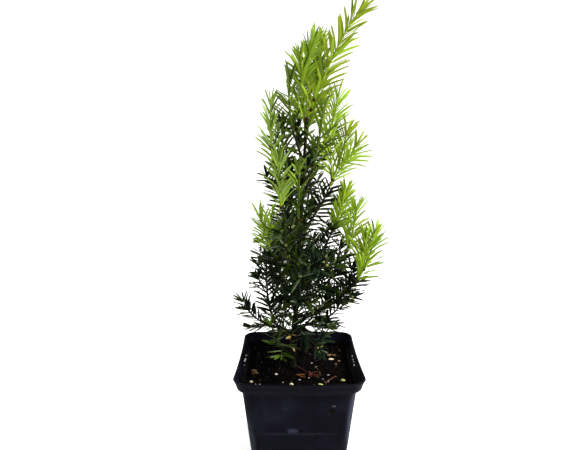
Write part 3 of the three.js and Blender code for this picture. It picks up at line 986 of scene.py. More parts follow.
def needle_at(shoot, share, turn, roll, tuft=1.0):
    """One needle as its root, heading, upper side, length, width and bend, or None without room."""
    kind = needle_kind(shoot)
    curve = shoot["curve"]
    along = curve.along(share)
    side, over, upright = sides_of(along)
    roundness = mix(*kind["roundness"], upright)
    lifted = math.sin(turn) * roundness + 0.12 * (1 - roundness)
    outward = (side * math.cos(turn) + over * lifted).normalized()
    splay = kind["splay"] * tuft * (1 - kind["closing"] * share**3) + SPLAY_SCATTER * (roll() - 0.5)
    heading = turned(along, outward, splay)
    foot, tip = STEM_OF[shoot["size"]]
    root = curve.point(share) + outward * (mix(foot, tip, share) * 0.6)
    short = 0.9 if shoot["size"] in ("finer", "bough") else 1
    full = kind["length"] * short * (0.86 + 0.28 * roll()) * (1 - 0.2 * share**4)
    scale = special(LONGER, shoot, 1)
    steep = along - heading * along.dot(heading)
    flat = over - heading * over.dot(heading)
    upper = (steep.normalized() * 0.6 + flat).normalized()
    upper = Matrix.Rotation(math.radians(kind["twist"]) * (roll() - 0.5), 3, heading) @ upper
    for size in NEEDLE_TRIES:
        length = full * size * scale
        if fits(root, root + heading * length, shoot["owner"]):
            width = kind["width"] * kind["wider"] * special(WIDER, shoot, 1) * (0.8 + 0.35 * roll())
            across = heading.cross(upper)
            bend = kind["bend"] * (upper * (roll() - 0.3) + across * (roll() - 0.5)) - UP * 0.3
            bend += (outward - heading * heading.dot(outward)).normalized() * kind["arch"]
            sizes = dict(length=length, width=width, bend=bend, share=share)
            return dict(root=root, heading=heading, upper=upper, **sizes)
    return None


def needles_of(shoot, roll):
    """The needles along a shoot, to its left and right by turns, and the tuft at its tip."""
    curve, kind = shoot["curve"], needle_kind(shoot)
    spacing = BOUGH_SPACING if shoot["size"] == "bough" else kind["spacing"]
    spacing *= special(CLOSER, shoot, 1)
    count = int((curve.length - shoot["bare"]) / spacing)
    found = []
    for i in range(count):
        share = (shoot["bare"] + (i + 0.5) * spacing) / curve.length
        turn = 180 * (i % 2) + kind["scatter"] * (roll() - 0.5)
        found.append(needle_at(shoot, share, math.radians(turn), roll))
    if not shoot["goes_on"]:
        for i in range(SMALL_TUFT if shoot["size"] == "finer" else TUFT):
            turn = GOLDEN_TURN * i + 30 * roll()
            found.append(needle_at(shoot, TUFT_AT, math.radians(turn), roll, 1.0 - 0.15 * i))
    return [needle for needle in found if needle]


# %% [markdown]
# The second step is one Geometry Nodes tree for a blade. A line is swept with a kite-shaped section,
# so the blade has a ridge and sharp edges, and a curve along it gives the outline. The tree copies the
# blade to each point, turns and sizes it by the point's attributes, makes the copies real, and then
# bends each one by its own amount, more towards its tip.

# %% The blade tree
def copies_tree(name, outline, section):
    """A tree that sweeps a section along a line to the given outline, and copies it to points."""
    tree = Tree(name, Stations="Int", Width="Float", Thickness="Float", Material="Material")
    line = tree.add("GeometryNodeCurvePrimitiveLine", Start=(0, 0, 0), End=(0, 0, 1))[0]
    line = tree.add("GeometryNodeResampleCurve", Curve=line, Count=tree.inputs["Stations"])[0]
    station = tree.add("GeometryNodeSplineParameter")["Factor"]
    line = tree.add("GeometryNodeStoreNamedAttribute", Geometry=line, Name="station", Value=station)[0]
    curve = tree.group.nodes.new("ShaderNodeFloatCurve")
    tree.feed(curve.inputs["Value"], station)
    marks = curve.mapping.curves[0].points
    while len(marks) < len(outline):
        marks.new(0.5, 0.5)
    for mark, place in zip(marks, outline):
        mark.location = place
    curve.mapping.update()
    sweep = dict(Profile_Curve=section(tree), Scale=curve.outputs[0], Fill_Caps=True)
    blade = tree.add("GeometryNodeCurveToMesh", Curve=line, **sweep)[0]
    turn = tree.attribute("turn", "QUATERNION")
    span = tree.attribute("span", "FLOAT_VECTOR")
    points = tree.add("GeometryNodeMeshToPoints", Mesh=tree.geometry)[0]
    copies = tree.copies(points, blade, turn, span)
    far = tree.maths("POWER", tree.attribute("station", "FLOAT"), 2.0)
    bent = tree.moved(copies, tree.attribute("bend", "FLOAT_VECTOR"), far)
    for label in ("station", "bend", "turn", "span"):
        bent = tree.add("GeometryNodeRemoveAttribute", Geometry=bent, Name=label)[0]
    tree.end(bent)
    return tree


def kite_section(tree):
    """A flat kite, wide across and thin through, with its ridge on the upper side."""
    return tree.add(
        "GeometryNodeCurvePrimitiveQuadrilateral",
        {"mode": "KITE"},
        Width=tree.inputs["Width"],
        Bottom_Height=tree.maths("MULTIPLY", tree.inputs["Thickness"], 0.3),
        Top_Height=tree.maths("MULTIPLY", tree.inputs["Thickness"], 0.7),
    )[0]


def round_section(tree):
    """A circle as wide as the tree's width, for buds and grains."""
    radius = tree.maths("MULTIPLY", tree.inputs["Width"], 0.5)
    return tree.add("GeometryNodeCurvePrimitiveCircle", Resolution=7, Radius=radius)[0]


def points_with_turns(placements):
    """A mesh of points in metres that carry each copy's turn, span and bend."""
    mesh = bpy.data.meshes.new("points")
    mesh.vertices.add(len(placements))
    mesh.vertices.foreach_set("co", [c * MM for p in placements for c in p["root"]])
    turns, spans, bends = [], [], []
    for p in placements:
        across = p["upper"].cross(p["heading"])
        basis = Matrix((across, p["upper"], p["heading"])).transposed()
        turns.extend(basis.to_quaternion())
        spans.extend((p["width"], p.get("depth", 1), p["length"] * MM))
        bends.extend(p["bend"] * MM)
    mesh.attributes.new("turn", "QUATERNION", "POINT").data.foreach_set("value", turns)
    mesh.attributes.new("span", "FLOAT_VECTOR", "POINT").data.foreach_set("vector", spans)
    mesh.attributes.new("bend", "FLOAT_VECTOR", "POINT").data.foreach_set("vector", bends)
    return mesh


def add_copies(name, tree, placements, material, slot, stations=7, thickness=1.0, smooth=False):
    """A piece made of copies of a tree's blade. thickness is in millimetres."""
    sizes = dict(Stations=stations, Width=MM, Thickness=thickness * MM, Material=material)
    add_piece(name, tree.run(points_with_turns(placements), **sizes), slot, smooth=smooth)


# Each place along the needle, and its width there.
NEEDLE_OUTLINE = [
    (0, 0.3), (0.07, 0.42), (0.16, 0.95), (0.45, 1.0), (0.75, 0.86), (0.92, 0.45), (1, 0.04),
]
needle_tree = copies_tree("needle_blades", NEEDLE_OUTLINE, kite_section)
print(len(needle_tree.group.nodes), "nodes in the blade tree")

# %% [markdown]
# Light falls on this plant from the right, and its new shoots differ: bright yellow-green on the right,
# greyer green at the upper left. The tones are a few plain colours that are dealt out by spray, because
# a pattern laid over thousands of small blades would only blur. Part of the light and shade is painted
# into them: the sunlit tone is painted light, the olive and shade tones of shoots in the shade of
# others are painted shade, and the sheen of some old needles is a painted highlight. Every few needles,
# one takes a neighbouring tone, as on a real shoot. All the needles of one tone are joined in one
# piece.

# %% Tones of the needles
TONES = {
    "new_gold": (0.155, 0.21, 0.009),
    "new_sunlit": (0.17, 0.275, 0.014),
    "new_leaf": (0.16, 0.25, 0.017),
    "new_pale": (0.19, 0.3, 0.07),
    "new_cool": (0.14, 0.22, 0.025),
    "new_olive": (0.048, 0.08, 0.004),
    "new_grey": (0.07, 0.11, 0.014),
    "new_shade": (0.02, 0.038, 0.002),
    "old_bright": (0.03, 0.055, 0.004),
    "old_sheen": (0.055, 0.082, 0.044),
    "old_grey": (0.022, 0.034, 0.013),
    "old_leaf": (0.0125, 0.0235, 0.0013),
    "old_dark": (0.0018, 0.0044, 0.0005),
    "old_blue": (0.003, 0.0085, 0.0035),
}
# The limbs and masses of each tone. Other new growth is sunlit, and other old sprays take one by dice.
LIMBS_OF_TONE = dict(
    new_gold="leader",
    new_leaf="second_leader back_leader left_mid",
    new_grey="left_top",
    new_cool="left_high left_inner",
    # Painted shade: fresh growth inside or behind the crown, in the shade of other limbs.
    new_olive="left_high_inner right_inner front_high back_top back_high back_mid",
    new_shade="back_right",
    old_leaf="front_left_low spray_front_left_mid spray_front_high spray_right_upper_mid",
    old_blue="front_right_low",
)
TONE_OF_LIMB = {limb: tone for tone, limbs in LIMBS_OF_TONE.items() for limb in limbs.split()}
OLD_TONES = ("old_dark", "old_dark", "old_dark", "old_blue", "old_leaf", "old_leaf")
# The lighter and the darker tone that are mixed into each.
NEIGHBOURS = dict(
    new_gold=("new_sunlit", "new_olive"), new_sunlit=("new_gold", "new_olive"),
    new_leaf=("new_sunlit", "new_olive"), new_cool=("new_pale", "new_olive"),
    new_olive=("new_leaf", "new_shade"), new_grey=("new_olive", "new_shade"),
    new_shade=("new_olive", "new_shade"), old_leaf=("old_grey", "old_dark"),
    old_dark=("old_leaf", "old_blue"), old_blue=("old_grey", "old_dark"),
)
SHARE_LIGHTER, SHARE_DARKER = dict(old=0.18, new=0.2), dict(old=0.16, new=0.07)
# The lowest limb towards the lens has this share of bright green needles.
SHARE_BRIGHT = 0.5
# Some fresh shoots rise out of the shade: below this share of their length they are dark.
SHADED_FOOT = dict(front_high=0.55, right_inner=0.35, left_high_inner=0.45, left_top=0.2)
# Above this height, in millimetres, the crown is thin, and this share of its old needles is as light
# as the olive ones.
OLIVE_ABOVE, SHARE_OLIVE = 228, 0.6
# Old needles are waxy. Of those whose upper side faces the sky, this share takes a lighter bluish tone,
# a painted sheen of the sky.
FACES_SKY, SHARE_SHEEN = 0.55, 0.1
print(len(TONES), "tones, of which", len(LIMBS_OF_TONE), "have limbs of their own")


# %% Needles dealt out by tone
def dealt_tone(shoot, needle, tone, roll):
    """The tone that one needle of a shoot gets."""
    throw, old = roll(), shoot["age"] == "old"
    # The sheen is a painted highlight of the sky on needles that face it.
    if old and needle["upper"].z > FACES_SKY and roll() < SHARE_SHEEN:
        return "old_sheen"
    if not old and needle["share"] < SHADED_FOOT.get(shoot["limb"], 0):
        return "new_shade"
    if old and needle["root"].z > OLIVE_ABOVE and throw < SHARE_OLIVE:
        return "new_olive"
    if shoot["limb"] == BRIGHT_LIMB and throw < SHARE_BRIGHT:
        return "old_bright"
    lighter, darker = NEIGHBOURS[tone]
    if throw < SHARE_LIGHTER[shoot["age"]]:
        return lighter
    return darker if throw > 1 - SHARE_DARKER[shoot["age"]] else tone


needles = {tone: [] for tone in TONES}
for shoot in shoots:
    roll = shaken(seed_of(shoot["owner"]))
    old_tone = OLD_TONES[int(roll() * len(OLD_TONES))]
    tone = special(TONE_OF_LIMB, shoot, "new_sunlit")
    if tone[:3] != shoot["age"]:
        tone = old_tone
    for needle in needles_of(shoot, roll):
        needles[dealt_tone(shoot, needle, tone, roll)].append(needle)

# The roughness, the specular level and the thickness of the needles of each age.
SURFACE_OF_AGE = dict(old=(0.35, 0.05, 0.55), new=(0.45, 0.06, 0.42))
for tone, placements in needles.items():
    age = tone.split("_")[0]
    roughness, gloss, thickness = SURFACE_OF_AGE[age]
    material = grained("needle_" + tone, TONES[tone], roughness, gloss, 900, 0.15)
    print(len(placements), "needles")
    name, slot = "needles_" + tone, "needles_" + age
    add_copies(name, needle_tree, placements, material, slot, thickness=thickness)

# %% [markdown]
# ## Buds, bud scales and dry needles
#
# Where a fresh shoot leaves last year's wood, the brown scales of its bud are left round its foot.
# Pale buds sit on the old twigs, and a few needles low on the stem have dried. The photo shows where
# these are, so some are given by their place in the picture. The script looks for the stem that the
# camera draws there, and the bud grows on that stem.

# %% Where the camera draws a point
turn_back = camera.rotation_euler.to_matrix().transposed()


def drawn_at(point):
    """The pixel at which the camera draws a point, and the point's depth before the lens."""
    x, y, z = turn_back @ (point * MM - camera.location)
    right, down = FOCAL_PIXELS * x / -z, FOCAL_PIXELS * y / z
    return Vector((IMAGE_WIDTH / 2 + right, IMAGE_HEIGHT / 2 + down, -z / MM))


def ray_at(px, py):
    """The way from the lens through a pixel. A depth times it gives the place seen there."""
    way = Vector(((px - IMAGE_WIDTH / 2) / FOCAL_PIXELS, (IMAGE_HEIGHT / 2 - py) / FOCAL_PIXELS, -1))
    return camera.rotation_euler.to_matrix() @ way


def point_at(px, py, depth):
    """The place in millimetres that is drawn at a pixel and lies at a depth."""
    return camera.location / MM + ray_at(px, py) * depth


PLACES_ON_STEMS = [(shoot, share) for shoot in shoots for share in np.linspace(0.08, 1, 12)]
DRAWN_STEMS = np.array([drawn_at(shoot["curve"].point(share)) for shoot, share in PLACES_ON_STEMS])


def stem_near(px, py, front=0.4):
    """The place on a stem that is drawn nearest to a pixel, with some weight on being in front."""
    off = np.hypot(DRAWN_STEMS[:, 0] - px, DRAWN_STEMS[:, 1] - py) + front * DRAWN_STEMS[:, 2]
    return PLACES_ON_STEMS[int(off.argmin())]


print(len(PLACES_ON_STEMS), "places on stems")

# %% Buds
BUD_OUTLINE = [(0, 0.45), (0.2, 0.85), (0.45, 1.0), (0.75, 0.7), (1, 0.12)]
round_tree = copies_tree("round_things", BUD_OUTLINE, round_section)
BUDS_DRAWN_AT = [
    (284, 225), (287, 227), (302, 225), (310, 226), (269, 241), (286, 243), (293, 246), (298, 273),
    (303, 276), (295, 278), (353, 296), (356, 301), (322, 256), (327, 270), (324, 264), (281, 262),
]
SHARE_WITH_BUD = 0.12


def bud_on(shoot, share, roll, towards=None, size=1.0):
    """A bud that stands on a stem's skin and leans along the stem."""
    curve = shoot["curve"]
    along = curve.along(share)
    across = across_of(along)
    outward = turned(across, along.cross(across), 360 * roll())
    if towards:
        outward = (towards - along * along.dot(towards)).normalized()
    heading = turned(along, outward, 20 if share > 0.97 else 50)
    root = curve.point(share) + outward * (STEM_OF[shoot["size"]][1] * 0.5)
    length, width = size * (1.9 + 0.8 * roll()), size * (1.25 + 0.35 * roll())
    sizes = dict(length=length, width=width, depth=width, bend=UP * 0)
    return dict(root=root, heading=heading, upper=heading.cross(across_of(heading)), **sizes)


roll = shaken(SEED * 801)
buds = []
for shoot in shoots:
    if shoot["age"] == "old" and shoot["size"] in ("twig", "finer") and roll() < SHARE_WITH_BUD:
        buds.append(bud_on(shoot, 0.99, roll))
for px, py in BUDS_DRAWN_AT:
    buds += [bud_on(*stem_near(px, py), roll, -ray_at(px, py) + UP * 0.3, 1.35) for _ in range(3)]
bud_green = grained("bud_pale_green", (0.13, 0.14, 0.035), 0.5, 0.1, 1800)
add_copies("buds", round_tree, buds, bud_green, "needles_old", stations=6, smooth=True)

# %% Bud scales
SCALES_DRAWN_AT = [
    (314, 105), (312, 109), (310, 113), (306, 120), (271, 151), (330, 180), (348, 247), (364, 273),
]
SCALE = dict(length=2.1, width=1.3)
ROUNDS, IN_ROUND = 2, 5


def scales_on(shoot, share, roll):
    """Two rounds of small brown blades that lie against the foot of a shoot."""
    curve = shoot["curve"]
    found = []
    for i in range(ROUNDS * IN_ROUND):
        here = min(share + (0.9 * (i // IN_ROUND)) / curve.length, 1)
        along = curve.along(here)
        across = across_of(along)
        outward = turned(across, along.cross(across), 72 * i + 50 * roll())
        root = curve.point(here) + outward * (STEM_OF[shoot["size"]][0] * 0.75)
        heading = turned(along, outward, 16 + 30 * roll())
        length = SCALE["length"] * (0.7 + 0.5 * roll())
        upper = (outward - heading * heading.dot(outward)).normalized()
        sizes = dict(length=length, width=SCALE["width"], bend=outward * (0.3 * roll()))
        found.append(dict(root=root, heading=heading, upper=upper, **sizes))
    return found


roll = shaken(SEED * 802)
scales = []
for shoot in shoots:
    if shoot["size"] == "new_growth":
        scales += scales_on(shoot, 0, roll)
for place in SCALES_DRAWN_AT:
    scales += scales_on(*stem_near(*place), roll)
scale_brown = grained("bud_scale_brown", (0.035, 0.017, 0.006), 0.7, 0.06, 1500, 0.4)
add_copies("bud_scales", needle_tree, scales, scale_brown, "bark", stations=6, thickness=0.3)

# %% Dry needles on the plant
# Where each dry needle's foot and tip are drawn, in pixels, and its width in millimetres. The needle
# grows on the nearest stem, with the length and the heading that are drawn.
DRY_NEEDLES = {
    "yellow": [
        # The thin one from (309, 352) down to (308.4, 361) is a painted highlight, light glinting along
        # a needle.
        (292.5, 337.2, 287.2, 340, 1.5), (296.5, 344, 298.6, 350, 1.4), (307, 354, 313.5, 352, 0.6),
        (309, 352, 308.4, 361, 0.3), (318.5, 352.2, 322, 354.2, 0.9), (299, 346, 296, 344, 0.9),
    ],
    "orange": [
        (294, 335, 296, 341.5, 1.0), (291, 334.6, 296.5, 336.6, 0.8), (293, 337, 292, 341, 0.7),
        (283, 332.4, 278.8, 333.4, 0.9), (297, 343, 295.6, 346, 0.8),
    ],
}
DRY_COLORS = {"yellow": (0.5, 0.38, 0.14), "orange": (0.2, 0.1, 0.02)}


def needle_between(root, tip, width, upper, bend=UP * 0):
    """A needle from one place to another, with its upper side towards a direction."""
    heading = (tip - root).normalized()
    upper = (upper - heading * heading.dot(upper)).normalized()
    sizes = dict(length=(tip - root).length, width=width, bend=bend)
    return dict(root=root, heading=heading, upper=upper, **sizes)


for kind, rows in DRY_NEEDLES.items():
    dry = []
    for px, py, tip_x, tip_y, width in rows:
        shoot, share = stem_near(px, py, front=0.15)
        root = shoot["curve"].point(share) - ray_at(px, py) * STEM_OF[shoot["size"]][0] * 0.6
        depth = drawn_at(root).z
        way = point_at(tip_x, tip_y, depth - 1.5) - point_at(px, py, depth)
        dry.append(needle_between(root, root + way, width, -ray_at(px, py)))
    material = grained("dry_needle_" + kind, DRY_COLORS[kind], 0.6, 0.1, 900)
    add_copies("needles_dry_" + kind, needle_tree, dry, material, "needles_old", thickness=0.4)

# %% [markdown]
# ## Pot
#
# A nursery pot is moulded in one go from thin black plastic. Its walls taper so that pots stack and
# slip out of the mould, and its collar steps out to stiffen the rim. The wall could be a box with a
# Solidify modifier, but its radii change all the way up, so it is a loft through rings of a rounded
# square: up the outside, over the lip and down the inside. As thin plastic does, the rim bows out a
# little at the front and the back, and in at the other two sides. The drain holes are cut by a Boolean
# modifier.

# %% Rounded square rings
POT = dict(height=95, rim=45, collar=42.7, collar_z=86.5, body=39.9, base=30.5, wall=1.1, floor=1.6)
CORNER_TOP, CORNER_BASE = 9, 7
# How far the rim's front and back bow in at their middle, and how far its other two sides do.
RIM_BOWS = (-1.5, 0.9)


def square_ring(half, radius, z, bows=(0, 0), steps=(9, 8)):
    """A level ring round a square with round corners, in so many steps for each corner and side."""
    corner_steps, side_steps = steps
    inset = half - radius
    ring = []
    for corner in range(4):
        middle = math.radians(45 + 90 * corner)
        centre_x, centre_y = (math.copysign(inset, f(middle)) for f in (math.cos, math.sin))
        for step in range(corner_steps + 1):
            angle = math.radians(90 * (corner + step / corner_steps))
            x, y = centre_x + radius * math.cos(angle), centre_y + radius * math.sin(angle)
            ring.append(Vector((x, y, z)))
        inward = Vector((-math.cos(angle), -math.sin(angle), 0))
        across = Vector((-math.sin(angle), math.cos(angle), 0))
        start = ring[-1]
        for step in range(1, side_steps):
            u = 2 * step / side_steps - 1
            ring.append(start + across * (inset * (u + 1)) + inward * (bows[corner % 2] * (1 - u * u)))
    return ring


RING_POINTS = len(square_ring(30, 7, 0))


def body_half(z):
    """Half the width of the pot's wall at a height."""
    return mix(POT["base"], POT["body"], z / POT["collar_z"])


def corner_at(z):
    """The radius of the pot's corners at a height."""
    return mix(CORNER_BASE, CORNER_TOP, z / POT["height"])


print(RING_POINTS, "points in each ring of the pot")

# %% Pot shell
# Each row of a profile is half the pot's width and the height at which it is that wide. A faint ridge
# goes round the wall, and the first rows of the rim's profile are outside, up to the lip.
RIDGE_Z = 54.5
LIP_RINGS = 12
body_profile = [(POT["base"] - 1.5, 0), (POT["base"] - 0.5, 0.35), (body_half(1.5), 1.5)]
for z in (6, 14, 22, 30, 38, 46, RIDGE_Z - 1):
    body_profile.append((body_half(z), z))
body_profile += [(body_half(RIDGE_Z) + 0.12, RIDGE_Z), (body_half(RIDGE_Z) + 0.04, RIDGE_Z + 0.9)]
for z in (60, 66, 72, 78, 83, 85.8):
    body_profile.append((body_half(z), z))
rim_profile = [
    (40.1, 86.2), (41.6, 86.45), (42.35, 86.75), (POT["collar"] + 0.05, 87.3), (43.6, 90.5),
    (44.35, 93.2), (44.75, 93.9), (POT["rim"], 94.35), (POT["rim"], 94.65), (POT["rim"] - 0.25, 94.95),
    (POT["rim"] - 0.6, 95.0), (POT["rim"] - 0.95, 94.8), (43.3, 93.2), (41.75, 88.6), (41.3, 87.9),
    (39.3, 87.35), (38.85, 86.9),
]
wall = POT["wall"]
inner_profile = [(body_half(z) - wall, z) for z in (85, 76, 66, 55, 44, 30, 15, 4)]
inner_profile += [(body_half(2) - wall - 0.6, 2.1), (body_half(2) - wall - 2, POT["floor"])]


def pot_ring(half, z, inside):
    """A ring of the pot. The higher it is, the more its sides bow."""
    height = min(max((z - 20) / 75, 0), 1)
    bows = [bow * height**2 for bow in RIM_BOWS]
    return square_ring(half, corner_at(z) - (wall if inside else 0), z, bows)


rings = [pot_ring(half, z, False) for half, z in body_profile + rim_profile[:LIP_RINGS]]
rings += [pot_ring(half, z, True) for half, z in rim_profile[LIP_RINGS:] + inner_profile]
points, faces = [], []
loft(rings, points, faces)
print(len(rings), "rings in the pot's wall")

# %% Pot plastic
plastic = finish("black_pot_plastic", (0.002, 0.002, 0.003), 0.45, Specular_IOR_Level=0.025)
clouds = pattern(plastic, 28, detail=6, Roughness=0.62)
color_by(
    plastic, clouds,
    (0.32, (0.0005, 0.0005, 0.0019)), (0.52, (0.0011, 0.0011, 0.0036)), (0.75, (0.0055, 0.006, 0.0115)),
)


def patch(material, centre, size, ragged):
    """1 in the middle of a patch and 0 outside, with a ragged edge. centre and size are millimetres."""
    place = add_node(material, "TexCoord").outputs["Object"]
    wobble = add_node(material, "TexNoise", Vector=place, Scale=900, Detail=3).outputs["Color"]
    shifted = add_node(material, "VectorMath")
    shifted.operation = "MULTIPLY_ADD"
    amount = ragged * max(size) * MM
    material.node_tree.links.new(wobble, shifted.inputs[0])
    shifted.inputs[1].default_value = (amount,) * 3
    material.node_tree.links.new(place, shifted.inputs[2])
    scale = [1 / (half * MM) for half in size]
    back = [-(c * MM + amount / 2) * k for c, k in zip(centre, scale)]
    mapped = add_node(material, "Mapping", Vector=shifted.outputs[0], Scale=scale, Location=back)
    ball = add_node(material, "TexGradient", Vector=mapped.outputs[0])
    ball.gradient_type = "SPHERICAL"
    return ramp(material, ball.outputs["Fac"], (0.1, (0, 0, 0)), (0.5, (1, 1, 1)))


def tint(material, factor, color):
    """Lays a colour over the material's base colour where the factor is high."""
    base = material.node_tree.nodes["Principled BSDF"].inputs["Base Color"]
    mixed = material.node_tree.nodes.new("ShaderNodeMix")
    mixed.data_type = "RGBA"
    material.node_tree.links.new(factor, mixed.inputs["Factor"])
    material.node_tree.links.new(base.links[0].from_socket, mixed.inputs[6])
    mixed.inputs[7].default_value = (*color, 1)
    material.node_tree.links.new(mixed.outputs[2], base)


# Marks of use, a faint pale line along the ridge and, in the last two rows, pale bands down the right
# and left corners that are a painted reflection of light on the rounded corners: their middle, half
# their size in millimetres, their colour and how ragged they are.
MARKS_AND_SHEENS = [
    ((22.3, -38.3, 72.0), (3.6, 3, 3.2), (0.0002, 0.00015, 0.0001), 0.5),
    ((20.4, -38.2, 70.0), (1.2, 3, 0.6), (0.02, 0.014, 0.004), 0.8),
    ((23.2, -38.8, 76.0), (1.9, 3, 0.7), (0.05, 0.047, 0.045), 0.7),
    ((-4.6, -36.7, 56.2), (5.0, 3, 2.6), (0.014, 0.015, 0.026), 0.4),
    ((-9.4, -38, 74.0), (2.4, 3, 2.0), (0.009, 0.009, 0.016), 0.4),
    ((-3, -36.5, 54.0), (38, 3, 1.3), (0.005, 0.006, 0.0105), 0.1),
    # The last two are painted reflections: pale bands down the right and the left rounded corner.
    ((37.0, -34.5, 62.0), (6, 6.5, 48), (0.016, 0.018, 0.03), 0.04),
    ((-34.5, -33, 44.0), (6, 6, 30), (0.009, 0.01, 0.016), 0.04),
]
for centre, size, color, ragged in MARKS_AND_SHEENS:
    tint(plastic, patch(plastic, centre, size, ragged), color)
rough = add_node(plastic, "MapRange", Value=pattern(plastic, 75, detail=5), To_Min=0.4, To_Max=0.65)
drive(plastic, "Roughness", rough.outputs["Result"])
relief(plastic, pattern(plastic, 1400, detail=4), 0.25, 0.0001)

# Inside, the plastic is stained by wet mix, and its colour is darker still with painted shade, as no
# daylight reaches it.
inner_plastic = finish("stained_and_shaded_pot_plastic", (0.0005, 0.0005, 0.001), 0.7, Specular_IOR_Level=0.015)
stains = pattern(inner_plastic, 60, detail=5)
color_by(inner_plastic, stains, (0.35, (0.0002, 0.0002, 0.0004)), (0.7, (0.0011, 0.001, 0.0016)))
relief(inner_plastic, pattern(inner_plastic, 1400, detail=4), 0.25, 0.0001)


def cut(mesh, cutter_mesh):
    """The mesh with the cutter's space taken out of it."""
    body, cutter = (new_object("cut", m) for m in (mesh, cutter_mesh))
    modifier = body.modifiers.new("cut", "BOOLEAN")
    modifier.object, modifier.operation, modifier.solver = cutter, "DIFFERENCE", "EXACT"
    result = modified(body)
    for thing in (body, cutter):
        bpy.data.objects.remove(thing)
    return result


DRAIN_RADIUS, DRAIN_INSET = 4, 19
DRAIN_FROM, DRAIN_TO = -3, 5
ROUND = np.linspace(0, 2 * math.pi, 24, endpoint=False)
circle = [(DRAIN_RADIUS * math.cos(a), DRAIN_RADIUS * math.sin(a)) for a in ROUND]
hole_points, hole_faces = [], []
for x in (-DRAIN_INSET, DRAIN_INSET):
    for y in (-DRAIN_INSET, DRAIN_INSET):
        rings = [[Vector((x + c, y + s, z)) for c, s in circle] for z in (DRAIN_FROM, DRAIN_TO)]
        loft(rings, hole_points, hole_faces)
shell = mesh_of(points, faces, plastic)
shell.materials.append(inner_plastic)
first_inside = (len(body_profile) + LIP_RINGS + 1) * RING_POINTS
for face in shell.polygons[first_inside:]:
    face.material_index = 1
pot_mesh = cut(shell, mesh_of(hole_points, hole_faces, plastic))
pot = add_piece("nursery_pot", pot_mesh, "pot_plastic", ["pot"])
pot.data.set_sharp_from_angle(angle=math.radians(35))

# %% [markdown]
# ## Potting mix
#
# The mix is dark peat with bark, grit and a few pale grains, and old needles lie on it. Its bed is one
# closed mesh whose top is raised and sunk by two sizes of noise. Crumbs are scattered on it by Geometry
# Nodes: each crumb starts as a small ball, is pushed out of shape by noise, and is turned and sized at
# random. One tree serves for every kind of crumb, with other values of its named inputs.

# %% Bed of potting mix
peat = finish("peat", (0.003, 0.002, 0.002), 0.95, Specular_IOR_Level=0.03)
lumps = pattern(peat, 420, detail=7, Roughness=0.75)
color_by(
    peat, lumps,
    (0.35, (0.0003, 0.0003, 0.0003)), (0.6, (0.001, 0.0008, 0.0007)), (0.8, (0.006, 0.004, 0.003)),
)
relief(peat, lumps, 0.9, 0.0008)


def bed_height(x, y):
    """The bed's top. Peat lies in lumps, and is level where the stem stands."""
    place = Vector((x, y, 0))
    lump = noise.noise(place * 0.11) * 1.5 + noise.noise(place * 0.37) * 0.7
    fine = noise.noise(place * 1.1) * 0.35
    level = min(max((math.hypot(x - STEM["foot_x"], y) - 3.5) / 4, 0), 1)
    return SOIL_TOP - 0.2 + (lump + fine) * level


BED_STEPS, BED_RINGS = (6, 12), 44
bed_half = body_half(SOIL_TOP - 1) - wall - CLEAR
bed_corner = corner_at(SOIL_TOP) - wall - CLEAR
floor_half = body_half(2) - wall - CLEAR - 1.5
floor_corner = corner_at(0) - wall - CLEAR
rings = [
    square_ring(floor_half, floor_corner, POT["floor"] + CLEAR, steps=BED_STEPS),
    square_ring(bed_half, bed_corner, SOIL_TOP - 1.5, steps=BED_STEPS),
]
for share in np.linspace(1, 0.02, BED_RINGS):
    ring = square_ring((bed_half - 0.05) * share, bed_corner * share, 0, steps=BED_STEPS)
    for p in ring:
        p.z = bed_height(p.x, p.y)
    rings.append(ring)
points, faces = [], []
loft(rings, points, faces)
bed = add_piece("mix_bed", mesh_of(points, faces, peat), "potting_mix", ["potting_mix"])

# %% The crumb tree
crumb_tree = Tree(
    "crumbs", Density="Float", Smallest="Float", Largest="Float", Flatness="Float", Facets="Int",
    Unevenness="Float", Seed="Int", Material="Material",
)
sizes = crumb_tree.inputs
facing = crumb_tree.add("GeometryNodeInputNormal")[0]
steepness = crumb_tree.maths("DOT_PRODUCT", facing, (0, 0, 1), vector=True)
on_top = crumb_tree.maths("GREATER_THAN", steepness, 0.4)
spread = crumb_tree.add(
    "GeometryNodeDistributePointsOnFaces",
    Mesh=crumb_tree.geometry, Selection=on_top, Density=sizes["Density"], Seed=sizes["Seed"],
)
ball = crumb_tree.add("GeometryNodeMeshIcoSphere", Radius=1.0, Subdivisions=sizes["Facets"])[0]
flat = crumb_tree.add("ShaderNodeCombineXYZ", X=1.0, Y=0.75, Z=sizes["Flatness"])[0]
size = crumb_tree.random(sizes["Smallest"], sizes["Largest"], sizes["Seed"])
turn = crumb_tree.random((0, 0, 0), (6.3, 6.3, 6.3), sizes["Seed"], "FLOAT_VECTOR")
span = crumb_tree.maths("MULTIPLY", flat, size, vector=True)
crumbs = crumb_tree.copies(spread["Points"], ball, turn, span)
wobble = crumb_tree.add("ShaderNodeTexNoise", Scale=900.0, Detail=1.0)["Color"]
centred = crumb_tree.maths("SUBTRACT", wobble, (0.5, 0.5, 0.5), vector=True)
crumb_tree.end(crumb_tree.moved(crumbs, centred, sizes["Unevenness"]))
print(len(crumb_tree.group.nodes), "nodes in the crumb tree")

# %% Crumbs, bark chips and grit
# The colour, roughness and specular level of each kind of crumb.
CRUMB_LOOKS = {
    "dark_crumb": ((0.001, 0.0008, 0.0007), 0.95, 0.02),
    "brown_crumb": ((0.007, 0.004, 0.002), 0.9, 0.04),
    "bark_chip": ((0.025, 0.012, 0.006), 0.85, 0.06),
    "pale_grit": ((0.25, 0.2, 0.12), 0.8, 0.2),
}
crumb_finishes = {
    kind: grained(kind, *look, 2600, 0.6, 0.0003, detail=4) for kind, look in CRUMB_LOOKS.items()
}

